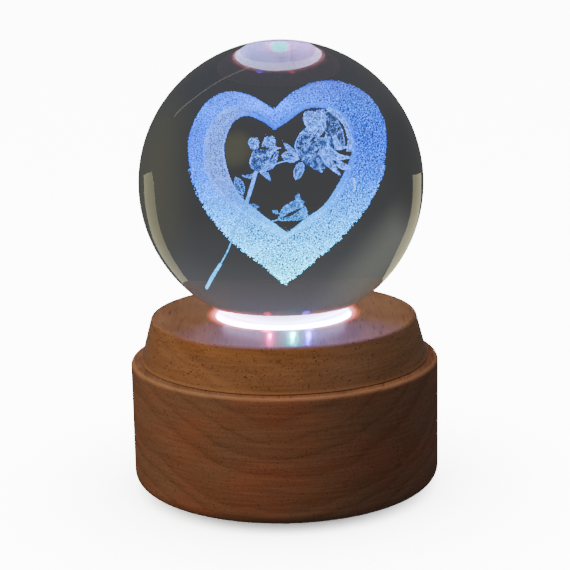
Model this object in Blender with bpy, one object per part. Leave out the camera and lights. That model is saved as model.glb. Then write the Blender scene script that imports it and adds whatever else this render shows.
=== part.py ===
"""Crystal ball lamp: a clear ball on a slowly turning two-tier wooden stand.

The lower tier holds a wind-up musical movement, a rechargeable cell and the control board.
The movement turns the upper tier, which carries the ball, while a light board on a fixed
column shines up through a dished, frosted window. Metres, +Z up, origin on the table under the
ball's axis. The front faces -Y.
"""

import math

import bmesh
import bpy
from mathutils import Matrix, Vector

MM = 0.001

# Ball and the two wooden tiers
ball_radius = 40.0 * MM
shell_wall = 11.5 * MM
shoulder_width = 3.0 * MM
upper_taper = 3.0 * MM
seam_gap = 0.5 * MM
bottom_round = 3.6 * MM
shoulder_round = 1.3 * MM
upper_edge_round = 1.0 * MM
upper_foot_chamfer = 0.5 * MM
foot_height = 2.5 * MM
foot_radius = 4.5 * MM
foot_inset = 1.5 * MM
foot_count = 3
foot_turn = math.radians(-90)
foot_edge_share = 0.15

# Engraving in the ball: a heart-shaped frame round two roses, thin solids in hollows of their shape.
# A fine bore under each hollow runs down to the ball's seat
engraving_gap = 0.15 * MM
engraving_bore = 0.5 * MM
bore_overrun = 1.0 * MM
heart_face_thickness = 1.4 * MM
heart_wall = 0.9 * MM
petal_thickness = 0.6 * MM
rose_stem_radius = 0.5 * MM
thin_stem_radius = 0.3 * MM

# Their outlines, as (x, z) shares of the ball's radius from its centre: left side, then right side.
# Depths are shares of it too, the front being negative.
heart_front_share = -0.125
heart_back_share = 0.1
heart_outer_shares = (
    ((-0.03, 0.40), (-0.14, 0.48), (-0.25, 0.52), (-0.34, 0.50), (-0.41, 0.43), (-0.47, 0.31), (-0.47, 0.19),
     (-0.44, 0.04), (-0.36, -0.11), (-0.24, -0.26), (-0.09, -0.38), (0.01, -0.48)),
    ((-0.03, 0.40), (0.06, 0.48), (0.17, 0.55), (0.28, 0.58), (0.40, 0.56), (0.50, 0.50), (0.56, 0.38),
     (0.57, 0.27), (0.52, 0.08), (0.44, -0.08), (0.29, -0.25), (0.14, -0.37), (0.01, -0.48)),
)
heart_inner_shares = (
    ((-0.01, 0.31), (-0.08, 0.37), (-0.17, 0.42), (-0.26, 0.41), (-0.34, 0.34), (-0.37, 0.21), (-0.36, 0.08),
     (-0.29, -0.03), (-0.18, -0.13), (0.01, -0.25)),
    ((-0.01, 0.31), (0.06, 0.38), (0.16, 0.43), (0.26, 0.42), (0.34, 0.34), (0.37, 0.21), (0.35, 0.08),
     (0.26, -0.07), (0.15, -0.16), (0.01, -0.25)),
)
heart_back_shares = (
    ((-0.02, 0.26), (-0.08, 0.29), (-0.16, 0.31), (-0.23, 0.28), (-0.28, 0.17), (-0.26, 0.05), (-0.19, -0.07),
     (-0.09, -0.16), (0.01, -0.24)),
    ((-0.02, 0.26), (0.04, 0.29), (0.12, 0.33), (0.21, 0.33), (0.29, 0.28), (0.33, 0.17), (0.30, 0.04),
     (0.20, -0.11), (0.10, -0.18), (0.01, -0.24)),
)
# A petal or leaf: left edge, right edge, how far back it lies and how far it bows to the front
petal_shares = (
    (((0.08, 0.13), (0.08, 0.17), (0.09, 0.23), (0.12, 0.29), (0.16, 0.34)),
     ((0.12, 0.11), (0.19, 0.17), (0.22, 0.24), (0.23, 0.29), (0.23, 0.35)), -0.07, 0.03),
    (((0.18, 0.08), (0.18, 0.16), (0.18, 0.22), (0.18, 0.29), (0.20, 0.34)),
     ((0.28, 0.05), (0.27, 0.15), (0.27, 0.22), (0.26, 0.29), (0.25, 0.36)), -0.092, 0.01),
    (((0.23, 0.12), (0.22, 0.21), (0.22, 0.29), (0.23, 0.33)),
     ((0.33, 0.14), (0.34, 0.20), (0.32, 0.29), (0.27, 0.35)), -0.078, 0.03),
    (((0.08, 0.12), (0.12, 0.10), (0.18, 0.07), (0.23, 0.06), (0.32, 0.06)),
     ((0.09, 0.14), (0.13, 0.17), (0.19, 0.18), (0.25, 0.16), (0.33, 0.12)), -0.066, 0.02),
    (((-0.12, 0.06), (-0.14, 0.09), (-0.14, 0.14), (-0.15, 0.18), (-0.13, 0.22)),
     ((-0.09, 0.06), (-0.08, 0.10), (-0.08, 0.14), (-0.09, 0.18), (-0.10, 0.22)), -0.02, 0.02),
    (((-0.11, 0.06), (-0.10, 0.10), (-0.09, 0.14), (-0.09, 0.19), (-0.06, 0.22)),
     ((-0.08, 0.06), (-0.04, 0.09), (-0.02, 0.13), (-0.03, 0.18), (-0.04, 0.22)), -0.015, 0.02),
    (((-0.04, -0.17), (0.00, -0.14), (0.03, -0.11), (0.08, -0.08)),
     ((-0.03, -0.18), (0.03, -0.17), (0.08, -0.16), (0.12, -0.16)), -0.03, 0.015),
    (((0.10, 0.14), (0.06, 0.16), (0.02, 0.20)), ((0.13, 0.15), (0.08, 0.18), (0.02, 0.20)), -0.064, 0.004),
    (((0.12, 0.14), (0.05, 0.15), (0.01, 0.13)), ((0.11, 0.11), (0.04, 0.10), (0.01, 0.13)), -0.057, 0.003),
    (((0.10, 0.14), (0.07, 0.07), (0.06, 0.02)), ((0.14, 0.14), (0.10, 0.06), (0.06, 0.02)), -0.061, 0.005),
)
# Stems, as (x, y, z) shares; all but the first are thin
stem_shares = (
    ((-0.11, -0.02, 0.07), (-0.13, -0.08, 0.00), (-0.15, -0.16, -0.08), (-0.19, -0.17, -0.17),
     (-0.24, -0.17, -0.27), (-0.39, -0.18, -0.52)),
    ((-0.10, -0.02, 0.07), (-0.04, -0.02, 0.09), (0.04, -0.04, 0.12), (0.10, -0.07, 0.14)),
    ((-0.03, -0.03, -0.17), (-0.06, -0.15, -0.18), (-0.13, -0.16, -0.20), (-0.21, -0.17, -0.22)),
)

# Clearances shared by every piece
seat_gap = 0.3 * MM
running_gap = 0.3 * MM
overrun = 1.0 * MM
weld_distance = 0.001 * MM

# Lower tier, inside
well_clearance = 1.4 * MM
head_room = 4.02 * MM
top_web = 5.8 * MM
cover_thickness = 2.3 * MM
cover_ledge_width = 5.7 * MM
cover_screw_inset = 2.9 * MM
screw_count = 3

# Turntable drive
drive_module = 1.6 * MM
ring_tooth_count = 36
drive_tooth_count = 12
drive_addendum = 1.35 * MM
drive_dedendum = 1.65 * MM
ring_rim = 3.4 * MM
ring_thickness = 2.5 * MM
bearing_thickness = 1.3 * MM

# Light column and window
wire_bore = 3.0 * MM
column_wall = 1.5 * MM
carrier_thickness = 1.0 * MM
carrier_gap = 1.75 * MM
carrier_lift = 0.35 * MM
board_gap = 0.7 * MM
board_thickness = 1.0 * MM
window_radius = 19.1 * MM
window_drop = 0.2 * MM
window_floor = 1.2 * MM
window_ease = 0.3 * MM
ball_sink = 2.4 * MM
ball_gap = 0.15 * MM
ledge_width = 1.9 * MM
ledge_thickness = 1.2 * MM
led_width = 4.2 * MM
led_height = 1.1 * MM
led_gap = 0.1 * MM
led_ease = 0.2 * MM
light_shares = (
    ("red", "#ff4a3a", -0.26, -0.32),
    ("green", "#6dffd8", 0.13, -0.16),
    ("blue", "#7a6cff", 0.5, -0.24),
    ("white", "#ffffff", -0.08, 0.42),
)

# Wind-up movement
plate_thickness = 1.6 * MM
well_radius = 10.5 * MM
well_wall = 1.4 * MM
well_depth = 7.4 * MM
ratchet_radius = 5.2 * MM
ratchet_thickness = 1.2 * MM
ratchet_tooth_count = 12
barrel_step = 0.4 * MM
barrel_wall = 1.0 * MM
barrel_height = 11.0 * MM
crown_module = 0.8 * MM
crown_tooth_count = 24
crown_width = 2.0 * MM
crown_floor = 1.4 * MM
crown_depth = 1.1 * MM
crown_edge = 0.1 * MM
arbor_radius = 1.5 * MM
crown_pinion_tooth_count = 12
cylinder_radius = 5.6 * MM
cylinder_length = 21.0 * MM
cylinder_tooth_count = 32
fine_module = 0.4 * MM
transfer_pinion_tooth_count = 8
transfer_tooth_count = 24
fly_module = 0.5 * MM
fly_tooth_count = 8
axle_radius = 0.9 * MM
wheel_thickness = 1.3 * MM
bracket_thickness = 1.2 * MM
comb_tooth_count = 18
comb_thickness = 1.0 * MM

# Glide ring, let into the shoulder under the upper tier's foot
glide_depth = 0.9 * MM
glide_width = 3.0 * MM
glide_land = 1.6 * MM

# Screws, by where they sit
screw_head = 2.0 * MM
small_screw_head = 1.3 * MM
gear_screw_head = 1.0 * MM
cover_screw_length = 7.0 * MM
cover_screw_turn = math.radians(90)
bearing_screw_length = 4.0 * MM
bearing_screw_circle = 20.0 * MM
gear_screw_bite = 2.6 * MM
plate_screw_length = 5.0 * MM
comb_screw_length = 4.5 * MM
hole_clearance = 0.25 * MM
head_height_share = 0.6
socket_share = 0.5
socket_floor_share = 0.4
shank_share = 0.5

# Winding knob and click
knob_lift = 0.9 * MM
knob_radius = 7.9 * MM
knob_flute = 0.5 * MM
ratchet_root_share = 0.82
ratchet_back_share = 0.12
click_arm = 4.4 * MM
stem_radius = 1.5 * MM
click_hub = 1.7 * MM
click_post_radius = 0.6 * MM
click_side = 4.6 * MM
click_rise = 2.2 * MM
click_flat_share = 0.7
click_heel_share = 0.9
click_tip_share = 0.85

# Teeth, pins and blades of the movement
crown_foot_share = 0.55
crown_tip_share = 0.3
strip_thickness = 0.3 * MM
spring_turn_count = 4
spring_step_count = 14
tooth_bottom_gap = 0.15 * MM
fine_addendum = 0.33 * MM
fly_addendum = 0.4 * MM
pin_height = 0.5 * MM
pin_width = 0.5 * MM
pin_row_count = 2
pin_step = 137.5
pin_start = 20.0
fly_length = 3.4 * MM
fly_radius = 4.0 * MM
fly_blade_thickness = 0.6 * MM

# Movement plate, comb and brackets
comb_depth = 16.0 * MM
comb_tooth_length = 9.5 * MM
comb_slot_share = 0.35
comb_screw_share = 0.2
plate_edge = 1.0 * MM
plate_back_share = 0.68
bracket_half_width = 3.0 * MM
boss_radius = 3.0 * MM
boss_side = 3.7 * MM
front_boss_share = 0.55
back_boss_shares = ((0.8, 0.3), (-0.1, 0.62))

# Rear panel
panel_side = 3.3 * MM
panel_half_height = 7.7 * MM
panel_thickness = 1.5 * MM
panel_pocket_depth = 4.2 * MM
panel_margin = 2.0 * MM
port_x = -5.5 * MM
port_half_width = 4.5 * MM
port_half_height = 1.6 * MM
port_depth = 7.4 * MM
port_wall = 0.35 * MM
tongue_half_width = 3.3 * MM
tongue_half_height = 0.35 * MM
tongue_inset = 1.0 * MM
port_floor = 1.0 * MM
switch_x = 6.0 * MM
switch_half_width = 4.2 * MM
switch_half_height = 1.8 * MM
switch_depth = 3.6 * MM
switch_travel = 2.5 * MM
knob_half_width = 1.5 * MM
knob_half_height = 1.0 * MM
knob_proud = 1.2 * MM
knob_ease = 0.15 * MM
control_thickness = 1.2 * MM

# Battery and leads
battery_length = 28.0 * MM
battery_width = 17.0 * MM
battery_thickness = 3.8 * MM
battery_ease = 0.7 * MM
pad_thickness = 0.7 * MM
pad_inset = 2.5 * MM
battery_x = 2.5 * MM
battery_y = -16.0 * MM
lead_radius = 0.7 * MM
lead_spacing = 3.4 * MM
battery_lead_x = 8.0 * MM
light_lead_x = -6.0 * MM

# The leads' routes between their ends, in millimetres
battery_lead_route = (
    (20.0, -15.0, 29.2),
    (25.5, -7.0, 29.0),
    (28.5, 3.0, 28.4),
    (26.5, 13.5, 27.0),
    (19.5, 22.0, 24.4),
    (12.0, 27.0, 21.6),
)
light_lead_route = (
    (0.0, 0.0, 38.0),
    (0.0, 0.2, 33.6),
    (-0.6, 1.6, 31.2),
    (-1.6, 5.4, 30.2),
    (-3.5, 14.0, 28.4),
    (-5.2, 22.0, 24.6),
)

# Levels of the movement, counted up from the table
base_bottom = foot_height
cover_top = base_bottom + cover_thickness
plate_bottom = base_bottom + well_depth + well_wall + seat_gap
plate_top = plate_bottom + plate_thickness
ratchet_bottom = plate_top + running_gap
ratchet_top = ratchet_bottom + ratchet_thickness
barrel_bottom = ratchet_top + running_gap
crown_bottom = barrel_bottom + crown_floor
crown_top = crown_bottom + crown_depth
barrel_top = barrel_bottom + barrel_height

# Radii and axes that follow from the gears
ring_pitch = ring_tooth_count * drive_module / 2
drive_pitch = drive_tooth_count * drive_module / 2
barrel_x = -(ring_pitch - drive_pitch)
ring_root = ring_pitch + drive_dedendum
ring_outer = ring_root + ring_rim
pocket_radius = ring_outer + seat_gap
bearing_radius = pocket_radius - running_gap
drive_hole_radius = drive_pitch + drive_addendum + running_gap
column_radius = wire_bore + column_wall
crown_pitch = crown_tooth_count * crown_module / 2
crown_pinion_pitch = crown_pinion_tooth_count * crown_module / 2
crown_outer = crown_pitch + crown_width / 2
barrel_radius = crown_pitch - crown_width / 2 - barrel_step
pinion_addendum = crown_depth / 2 - running_gap / 3
cylinder_z = crown_top - crown_depth / 2 + crown_pinion_pitch
crown_pinion_x = barrel_x + barrel_radius + 2 * running_gap
left_bracket_x = barrel_x + crown_outer + running_gap
cylinder_x = left_bracket_x + bracket_thickness + running_gap
cylinder_gear_x = cylinder_x + cylinder_length
right_bracket_x = cylinder_gear_x + wheel_thickness + running_gap
train_x = right_bracket_x + bracket_thickness + running_gap
cylinder_gear_pitch = cylinder_tooth_count * fine_module / 2
transfer_pinion_pitch = transfer_pinion_tooth_count * fine_module / 2
transfer_wheel_pitch = transfer_tooth_count * fly_module / 2
fly_pitch = fly_tooth_count * fly_module / 2
transfer_y = cylinder_gear_pitch + transfer_pinion_pitch
fly_angle = math.radians(60)
fly_y = transfer_y + (transfer_wheel_pitch + fly_pitch) * math.sin(fly_angle)
fly_z = cylinder_z - (transfer_wheel_pitch + fly_pitch) * math.cos(fly_angle)

# The lower tier goes round the winding well and over the movement
cavity_radius = well_radius + well_wall + well_clearance - barrel_x
base_radius = cavity_radius + shell_wall
cover_ledge_radius = cavity_radius + cover_ledge_width
cover_screw_circle = cavity_radius + cover_screw_inset
foot_circle_radius = cavity_radius - foot_inset
web_bottom = cylinder_z + cylinder_gear_pitch + fine_addendum + head_room
web_top = web_bottom + top_web
lower_height = web_top - base_bottom

# The upper tier, from its bearing up to the ball
upper_foot_radius = base_radius - shoulder_width
upper_top_radius = upper_foot_radius - upper_taper
upper_bottom = web_top + seam_gap
bearing_bottom = web_top + seat_gap
bearing_top = bearing_bottom + bearing_thickness
gear_bottom = bearing_top + running_gap
gear_top = gear_bottom + ring_thickness
carrier_bottom = gear_top + carrier_lift
carrier_top = carrier_bottom + carrier_thickness
board_bottom = carrier_top + seat_gap
board_top = board_bottom + board_thickness
led_bottom = board_top + led_gap
led_top = led_bottom + led_height
window_bottom = led_top + running_gap
ledge_top = window_bottom - seat_gap
ledge_bottom = ledge_top - ledge_thickness
ball_bottom = window_bottom + window_floor + ball_gap
ball_centre_height = ball_bottom + ball_radius
upper_top = ball_bottom + ball_sink
upper_height = upper_top - upper_bottom
window_top = upper_top - window_drop

# The board fills the ledge's bore under the window
board_radius = window_radius - ledge_width - board_gap

# Places that follow for the comb, the ring gear's rim and the rear panel
comb_low = cylinder_z - comb_thickness / 2
comb_tip = -(cylinder_radius + pin_height + running_gap)
comb_root = comb_tip - comb_tooth_length
comb_back = comb_tip - comb_depth
comb_screw_y = (comb_root + comb_back) / 2
comb_screw_inset = cylinder_length * comb_screw_share
comb_screw_places = (cylinder_x + comb_screw_inset, cylinder_gear_x - comb_screw_inset)
rim_inner = ring_root + seat_gap
carrier_radius = rim_inner - carrier_gap
gear_screw_circle = (rim_inner + ring_outer - seat_gap) / 2
panel_half_width = switch_x + switch_half_width + panel_side
panel_level = base_bottom + lower_height / 2
panel_back = base_radius - panel_pocket_depth + seat_gap
panel_front = panel_back + panel_thickness
control_front = panel_front - port_depth

wood_steps = 36
ball_steps = 36
heart_side_steps = 16
petal_steps = 4
stem_sides = 6
small_steps = 16
screw_steps = 10


def clear_scene():
    for thing in list(bpy.data.objects):
        bpy.data.objects.remove(thing, do_unlink=True)


def linear(channel):
    """One sRGB channel, 0 to 1, as linear light."""
    return channel / 12.92 if channel <= 0.04045 else ((channel + 0.055) / 1.055) ** 2.4


def finish(name, colour, roughness, metallic=0.0, transmission=0.0):
    """A Principled material from an sRGB hex colour, shared by name."""
    made = bpy.data.materials.get(name)
    if made:
        return made
    made = bpy.data.materials.new(name)
    made.use_nodes = True
    shader = made.node_tree.nodes["Principled BSDF"]
    rgb = [linear(int(colour[i : i + 2], 16) / 255) for i in (1, 3, 5)]
    shader.inputs["Base Color"].default_value = (*rgb, 1)
    shader.inputs["Roughness"].default_value = roughness
    shader.inputs["Metallic"].default_value = metallic
    shader.inputs["Transmission Weight"].default_value = transmission
    made.diffuse_color = (*rgb, 1)
    return made


def walnut():
    return finish("oiled_wood", "#8a5a36", 0.5)


def crystal():
    return finish("optical_glass", "#f4f8fa", 0.02, transmission=1.0)


def frosted_plastic():
    return finish("frosted_plastic", "#f2f2ff", 0.4, transmission=0.6)


def white_plastic():
    return finish("white_plastic", "#ecebe6", 0.45)


def black_plastic():
    return finish("black_plastic", "#1d1d1f", 0.5)


def grey_rubber():
    return finish("grey_rubber", "#55565a", 0.8)


def brass():
    return finish("brass", "#c9a24e", 0.3, 1.0)


def steel():
    return finish("steel", "#b9bcc0", 0.3, 1.0)


def dark_steel():
    return finish("blued_steel", "#3c4250", 0.35, 1.0)


def circuit_green():
    return finish("circuit_board", "#1f5a38", 0.5)


def place(name, mesh, look, at=(0, 0, 0), turn=(0, 0, 0), parent=None):
    """Puts a finished mesh in the scene as one object, its origin on its own axis."""
    thing = bpy.data.objects.new(name, mesh)
    bpy.context.scene.collection.objects.link(thing)
    thing.location = at
    thing.rotation_euler = turn
    thing.parent = parent
    mesh.materials.append(look)
    mesh.shade_smooth()
    mesh.set_sharp_from_angle(angle=math.radians(35))
    return thing


def closed(bm, name):
    """Welds what meets, turns every face outwards and hands back the mesh."""
    bmesh.ops.remove_doubles(bm, verts=bm.verts, dist=weld_distance)
    bmesh.ops.recalc_face_normals(bm, faces=bm.faces)
    mesh = bpy.data.meshes.new(name)
    bm.to_mesh(mesh)
    bm.free()
    return mesh


def turned(name, profile, look, steps=small_steps, **where):
    """A lathe piece: the (radius, height) profile spun once round its own Z.

    A profile that starts off the axis closes on itself. One that starts on the axis ends there."""
    bm = bmesh.new()
    points = [bm.verts.new((radius, 0, height)) for radius, height in profile]
    pairs = list(zip(points, points[1:]))
    if profile[0][0] > 0:
        pairs.append((points[-1], points[0]))
    edges = [bm.edges.new(pair) for pair in pairs]
    bmesh.ops.spin(
        bm, geom=points + edges, cent=(0, 0, 0), axis=(0, 0, 1), angle=math.tau, steps=steps, use_merge=True
    )
    return place(name, closed(bm, name), look, **where)


def prism(name, outline, low, high, look, **where):
    """A flat outline in XY, raised from low to high."""
    bm = bmesh.new()
    face = bm.faces.new([bm.verts.new((x, y, low)) for x, y in outline])
    raised = bmesh.ops.extrude_face_region(bm, geom=[face])["geom"]
    tops = [part for part in raised if isinstance(part, bmesh.types.BMVert)]
    bmesh.ops.translate(bm, verts=tops, vec=(0, 0, high - low))
    return place(name, closed(bm, name), look, **where)


def bridged(bm, loops, around=True):
    """Faces between each loop and the next, and from the last back to the first."""
    for first, second in zip(loops, loops[1:] + loops[:1]):
        for i in range(len(first) if around else len(first) - 1):
            k = (i + 1) % len(first)
            bm.faces.new((first[i], first[k], second[k], second[i]))


def holed_prism(name, outer, inner, low, high, look, **where):
    """A flat ring between two outlines of as many points, raised from low to high."""
    bm = bmesh.new()
    levels = ((outer, low), (outer, high), (inner, high), (inner, low))
    bridged(bm, [[bm.verts.new((x, y, height)) for x, y in outline] for outline, height in levels])
    return place(name, closed(bm, name), look, **where)


def add_box(bm, low, high, turn=0.0, narrow=1.0):
    """A box between two corners, turned about Z, its top drawn in across Y by a share."""
    corners = [(x, y, z) for z in (low[2], high[2]) for x, y in ((0, 0), (1, 0), (1, 1), (0, 1))]
    made = []
    for x, y, z in corners:
        width = narrow if z == high[2] else 1.0
        along = high[0] if x else low[0]
        across = (high[1] if y else low[1]) * width
        spot = Matrix.Rotation(turn, 3, "Z") @ Vector((along, across, z))
        made.append(bm.verts.new(spot))
    for face in ((3, 2, 1, 0), (4, 5, 6, 7), (0, 1, 5, 4), (1, 2, 6, 5), (2, 3, 7, 6), (3, 0, 4, 7)):
        bm.faces.new([made[i] for i in face])


def block(name, low, high, look, ease=0.0, **where):
    """A box between two corners, with its edges eased if a width is given."""
    bm = bmesh.new()
    add_box(bm, low, high)
    if ease:
        bmesh.ops.bevel(bm, geom=bm.edges, offset=ease, segments=1, affect="EDGES")
    return place(name, closed(bm, name), look, **where)


def rod(name, radius, low, high, look, steps=small_steps, **where):
    return turned(name, [(0, low), (radius, low), (radius, high), (0, high)], look, steps, **where)


def ring(name, inner, outer, low, high, look, steps=small_steps, **where):
    profile = [(inner, low), (outer, low), (outer, high), (inner, high)]
    return turned(name, profile, look, steps, **where)


def arc(centre, radius, start, end, pieces):
    """Points of an arc in the profile plane, both ends included, angles in degrees."""
    angles = [math.radians(start + (end - start) * i / pieces) for i in range(pieces + 1)]
    return [(centre[0] + radius * math.cos(a), centre[1] + radius * math.sin(a)) for a in angles]


def circle(radius, points, turn=0.0):
    angles = [turn + math.tau * i / points for i in range(points)]
    return [(radius * math.cos(a), radius * math.sin(a)) for a in angles]


def tooth_outline(teeth, root, tip, phase=0.0, root_share=0.6, tip_share=0.3):
    """A gear's outline, four points a tooth, the first tooth centred on phase."""
    pitch = math.tau / teeth
    outline = []
    for i in range(teeth):
        for share, radius in ((-root_share, root), (-tip_share, tip), (tip_share, tip), (root_share, root)):
            angle = phase + pitch * (i + share / 2)
            outline.append((radius * math.cos(angle), radius * math.sin(angle)))
    return outline


def combine(target, tool, operation, solver="EXACT"):
    """Cuts a helper from a piece, or joins it on, and hides the helper."""
    change = target.modifiers.new(f"{operation.lower()}_{tool.name}", "BOOLEAN")
    change.operation = operation
    change.object = tool
    change.solver = solver
    tool.hide_render = True
    tool.display_type = "WIRE"


def cut(target, tool, solver="EXACT"):
    combine(target, tool, "DIFFERENCE", solver)


def join(target, tool, solver="EXACT"):
    combine(target, tool, "UNION", solver)


def drill(target, name, radius, low, high, at, steps=8, **where):
    """A round hole along the piece's own Z, between two levels, at a place in its XY."""
    cut(target, rod(name, radius, low, high, target.data.materials[0], steps, at=(*at, 0), **where))


def axis_mark(name, at, turn=(0, 0, 0)):
    """An empty on a joint's axis, which the pieces that turn there hang from."""
    mark = bpy.data.objects.new(name, None)
    bpy.context.scene.collection.objects.link(mark)
    mark.location = at
    mark.rotation_euler = turn
    return mark


def shank(head):
    return head * shank_share


def pilot(head):
    """The radius of the hole that a screw of this head radius goes into or through."""
    return shank(head) + hole_clearance


def screw(name, at, head, length, look, upward=False, parent=None):
    """A socket-head screw, the underside of its head at the place given and its shank pointing away."""
    height = head * head_height_share
    floor = height * socket_floor_share
    sign = -1 if upward else 1
    profile = [
        (0, sign * floor),
        (head * socket_share, sign * floor),
        (head * socket_share, sign * height),
        (head, sign * height),
        (head, 0),
        (shank(head), 0),
        (shank(head), -sign * length),
        (0, -sign * length),
    ]
    return turned(name, profile, look, screw_steps, at=at, parent=parent)


def counterbore(target, name, at, head, face, seat, through, steps=screw_steps, parent=None):
    """A stepped hole up through a piece: room for a head from its lower face, then for the shank."""
    profile = [
        (0, face - overrun),
        (head + seat_gap, face - overrun),
        (head + seat_gap, seat),
        (pilot(head), seat),
        (pilot(head), through + overrun),
        (0, through + overrun),
    ]
    tool = turned(name, profile, target.data.materials[0], steps, at=(*at, 0), parent=parent)
    cut(target, tool)


def round_places(radius, count, turn=0.0):
    return circle(radius, count, turn)


def glide_radii():
    inner = pocket_radius + glide_land
    return inner, inner + glide_width


def make_base_shell():
    """The lower tier: a turned wooden cup, open below, with a flat web on top."""
    wood = walnut()
    glide_in, glide_out = glide_radii()
    profile = [
        (cover_ledge_radius, base_bottom),
        *arc((base_radius - bottom_round, base_bottom + bottom_round), bottom_round, -90, 0, 4),
        *arc((base_radius - shoulder_round, web_top - shoulder_round), shoulder_round, 0, 90, 2),
        (glide_out, web_top),
        (glide_out, web_top - glide_depth),
        (glide_in, web_top - glide_depth),
        (glide_in, web_top),
        (wire_bore, web_top),
        (wire_bore, web_bottom),
        (cavity_radius, web_bottom),
        (cavity_radius, cover_top + seat_gap),
        (cover_ledge_radius, cover_top + seat_gap),
    ]
    shell = turned("base_shell", profile, wood, wood_steps)
    drill(shell, "drive_hole", drive_hole_radius, web_bottom - overrun, web_top + overrun, (barrel_x, 0), 24)
    half_x = panel_half_width + seat_gap
    half_z = panel_half_height + seat_gap
    pocket = block(
        "panel_pocket",
        (-half_x, base_radius - panel_pocket_depth, panel_level - half_z),
        (half_x, base_radius + overrun, panel_level + half_z),
        wood,
    )
    cut(shell, pocket)
    opening_x = half_x - panel_margin
    opening_z = half_z - panel_margin
    opening = block(
        "panel_opening",
        (-opening_x, 0, panel_level - opening_z),
        (opening_x, base_radius, panel_level + opening_z),
        wood,
    )
    cut(shell, opening)
    for i, at in enumerate(round_places(cover_screw_circle, screw_count, cover_screw_turn)):
        top = cover_top + cover_screw_length
        drill(shell, f"cover_pilot_{i + 1}", pilot(screw_head), base_bottom, top, at)
    for i, at in enumerate(round_places(bearing_screw_circle, screw_count)):
        low = bearing_top + seat_gap - bearing_screw_length - seat_gap
        drill(shell, f"bearing_pilot_{i + 1}", pilot(screw_head), low, web_top + overrun, at)
    return shell


def make_glide_ring():
    """The slippery ring let into the shoulder, which carries the upper tier."""
    inner, outer = glide_radii()
    low = web_top - glide_depth + seat_gap
    high = upper_bottom - seat_gap
    return ring("glide_ring", inner + seat_gap, outer - seat_gap, low, high, white_plastic(), wood_steps)


def boss_places():
    """Where the movement plate is screwed down, inside the cavity."""
    front = (cylinder_gear_x + boss_side, -cavity_radius * front_boss_share)
    return [front, *((cavity_radius * x, cavity_radius * y) for x, y in back_boss_shares)]


def make_bottom_cover():
    """The moulded bottom: a disc with a round well for the winding knob, and bosses for the movement."""
    look = black_plastic()
    cover = rod("bottom_cover", cover_ledge_radius - seat_gap, base_bottom, cover_top, look, wood_steps)
    inside = base_bottom + cover_thickness / 2
    well_top = plate_bottom - seat_gap
    tower = rod("well_tower", well_radius + well_wall, inside, well_top, look, 24, at=(barrel_x, 0, 0))
    join(cover, tower)
    for i, at in enumerate(boss_places()):
        join(cover, rod(f"boss_{i + 1}", boss_radius, inside, well_top, look, 12, at=(*at, 0)))
        low = plate_top - plate_screw_length
        drill(cover, f"boss_pilot_{i + 1}", pilot(small_screw_head), low, well_top + overrun, at)
    drill(cover, "well", well_radius, base_bottom - overrun, base_bottom + well_depth, (barrel_x, 0), 24)
    clear = arbor_radius + running_gap
    drill(cover, "well_arbor_hole", clear, base_bottom, well_top + overrun, (barrel_x, 0), 12)
    seat = base_bottom + screw_head * head_height_share + seat_gap
    for i, at in enumerate(round_places(cover_screw_circle, screw_count, cover_screw_turn)):
        counterbore(cover, f"cover_hole_{i + 1}", at, screw_head, base_bottom, seat, cover_top)
        screw(f"cover_screw_{i + 1}", (*at, seat), screw_head, cover_screw_length, steel(), upward=True)
    return cover


def make_feet():
    """Stick-on rubber feet, chamfered at the rim."""
    edge = foot_radius * foot_edge_share
    profile = [
        (0, 0),
        (foot_radius - edge, 0),
        (foot_radius, edge),
        (foot_radius, foot_height - seat_gap),
        (0, foot_height - seat_gap),
    ]
    for i, at in enumerate(round_places(foot_circle_radius, foot_count, foot_turn)):
        turned(f"foot_{i + 1}", profile, grey_rubber(), small_steps, at=(*at, 0))


def make_bearing_column():
    """The turning bearing: a flange that centres the upper tier, and the hollow column for the light."""
    high = carrier_bottom - seat_gap
    profile = [
        (wire_bore, bearing_bottom),
        (bearing_radius, bearing_bottom),
        (bearing_radius, bearing_top),
        (column_radius, bearing_top),
        (column_radius, high),
        (wire_bore, high),
    ]
    column = turned("bearing_column", profile, white_plastic(), 36)
    low, through = bearing_bottom - overrun, bearing_top + overrun
    drill(column, "column_drive_hole", drive_hole_radius, low, through, (barrel_x, 0), 24)
    for i, at in enumerate(round_places(bearing_screw_circle, screw_count)):
        drill(column, f"bearing_hole_{i + 1}", pilot(screw_head), low, through, at)
        under_head = (*at, bearing_top + seat_gap)
        screw(f"bearing_screw_{i + 1}", under_head, screw_head, bearing_screw_length, steel())
    return column


def make_light():
    """The fixed dish on the column, the round board on it and the four lights under the window."""
    ring("light_carrier", wire_bore, carrier_radius, carrier_bottom, carrier_top, white_plastic(), 32)
    rod("light_board", board_radius, board_bottom, board_top, circuit_green(), 24)
    half = led_width / 2
    for colour, shade, x_share, y_share in light_shares:
        block(
            f"led_{colour}",
            (-half, -half, 0),
            (half, half, led_height),
            finish(f"led_{colour}", shade, 0.3),
            ease=led_ease,
            at=(board_radius * x_share, board_radius * y_share, led_bottom),
        )


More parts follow.
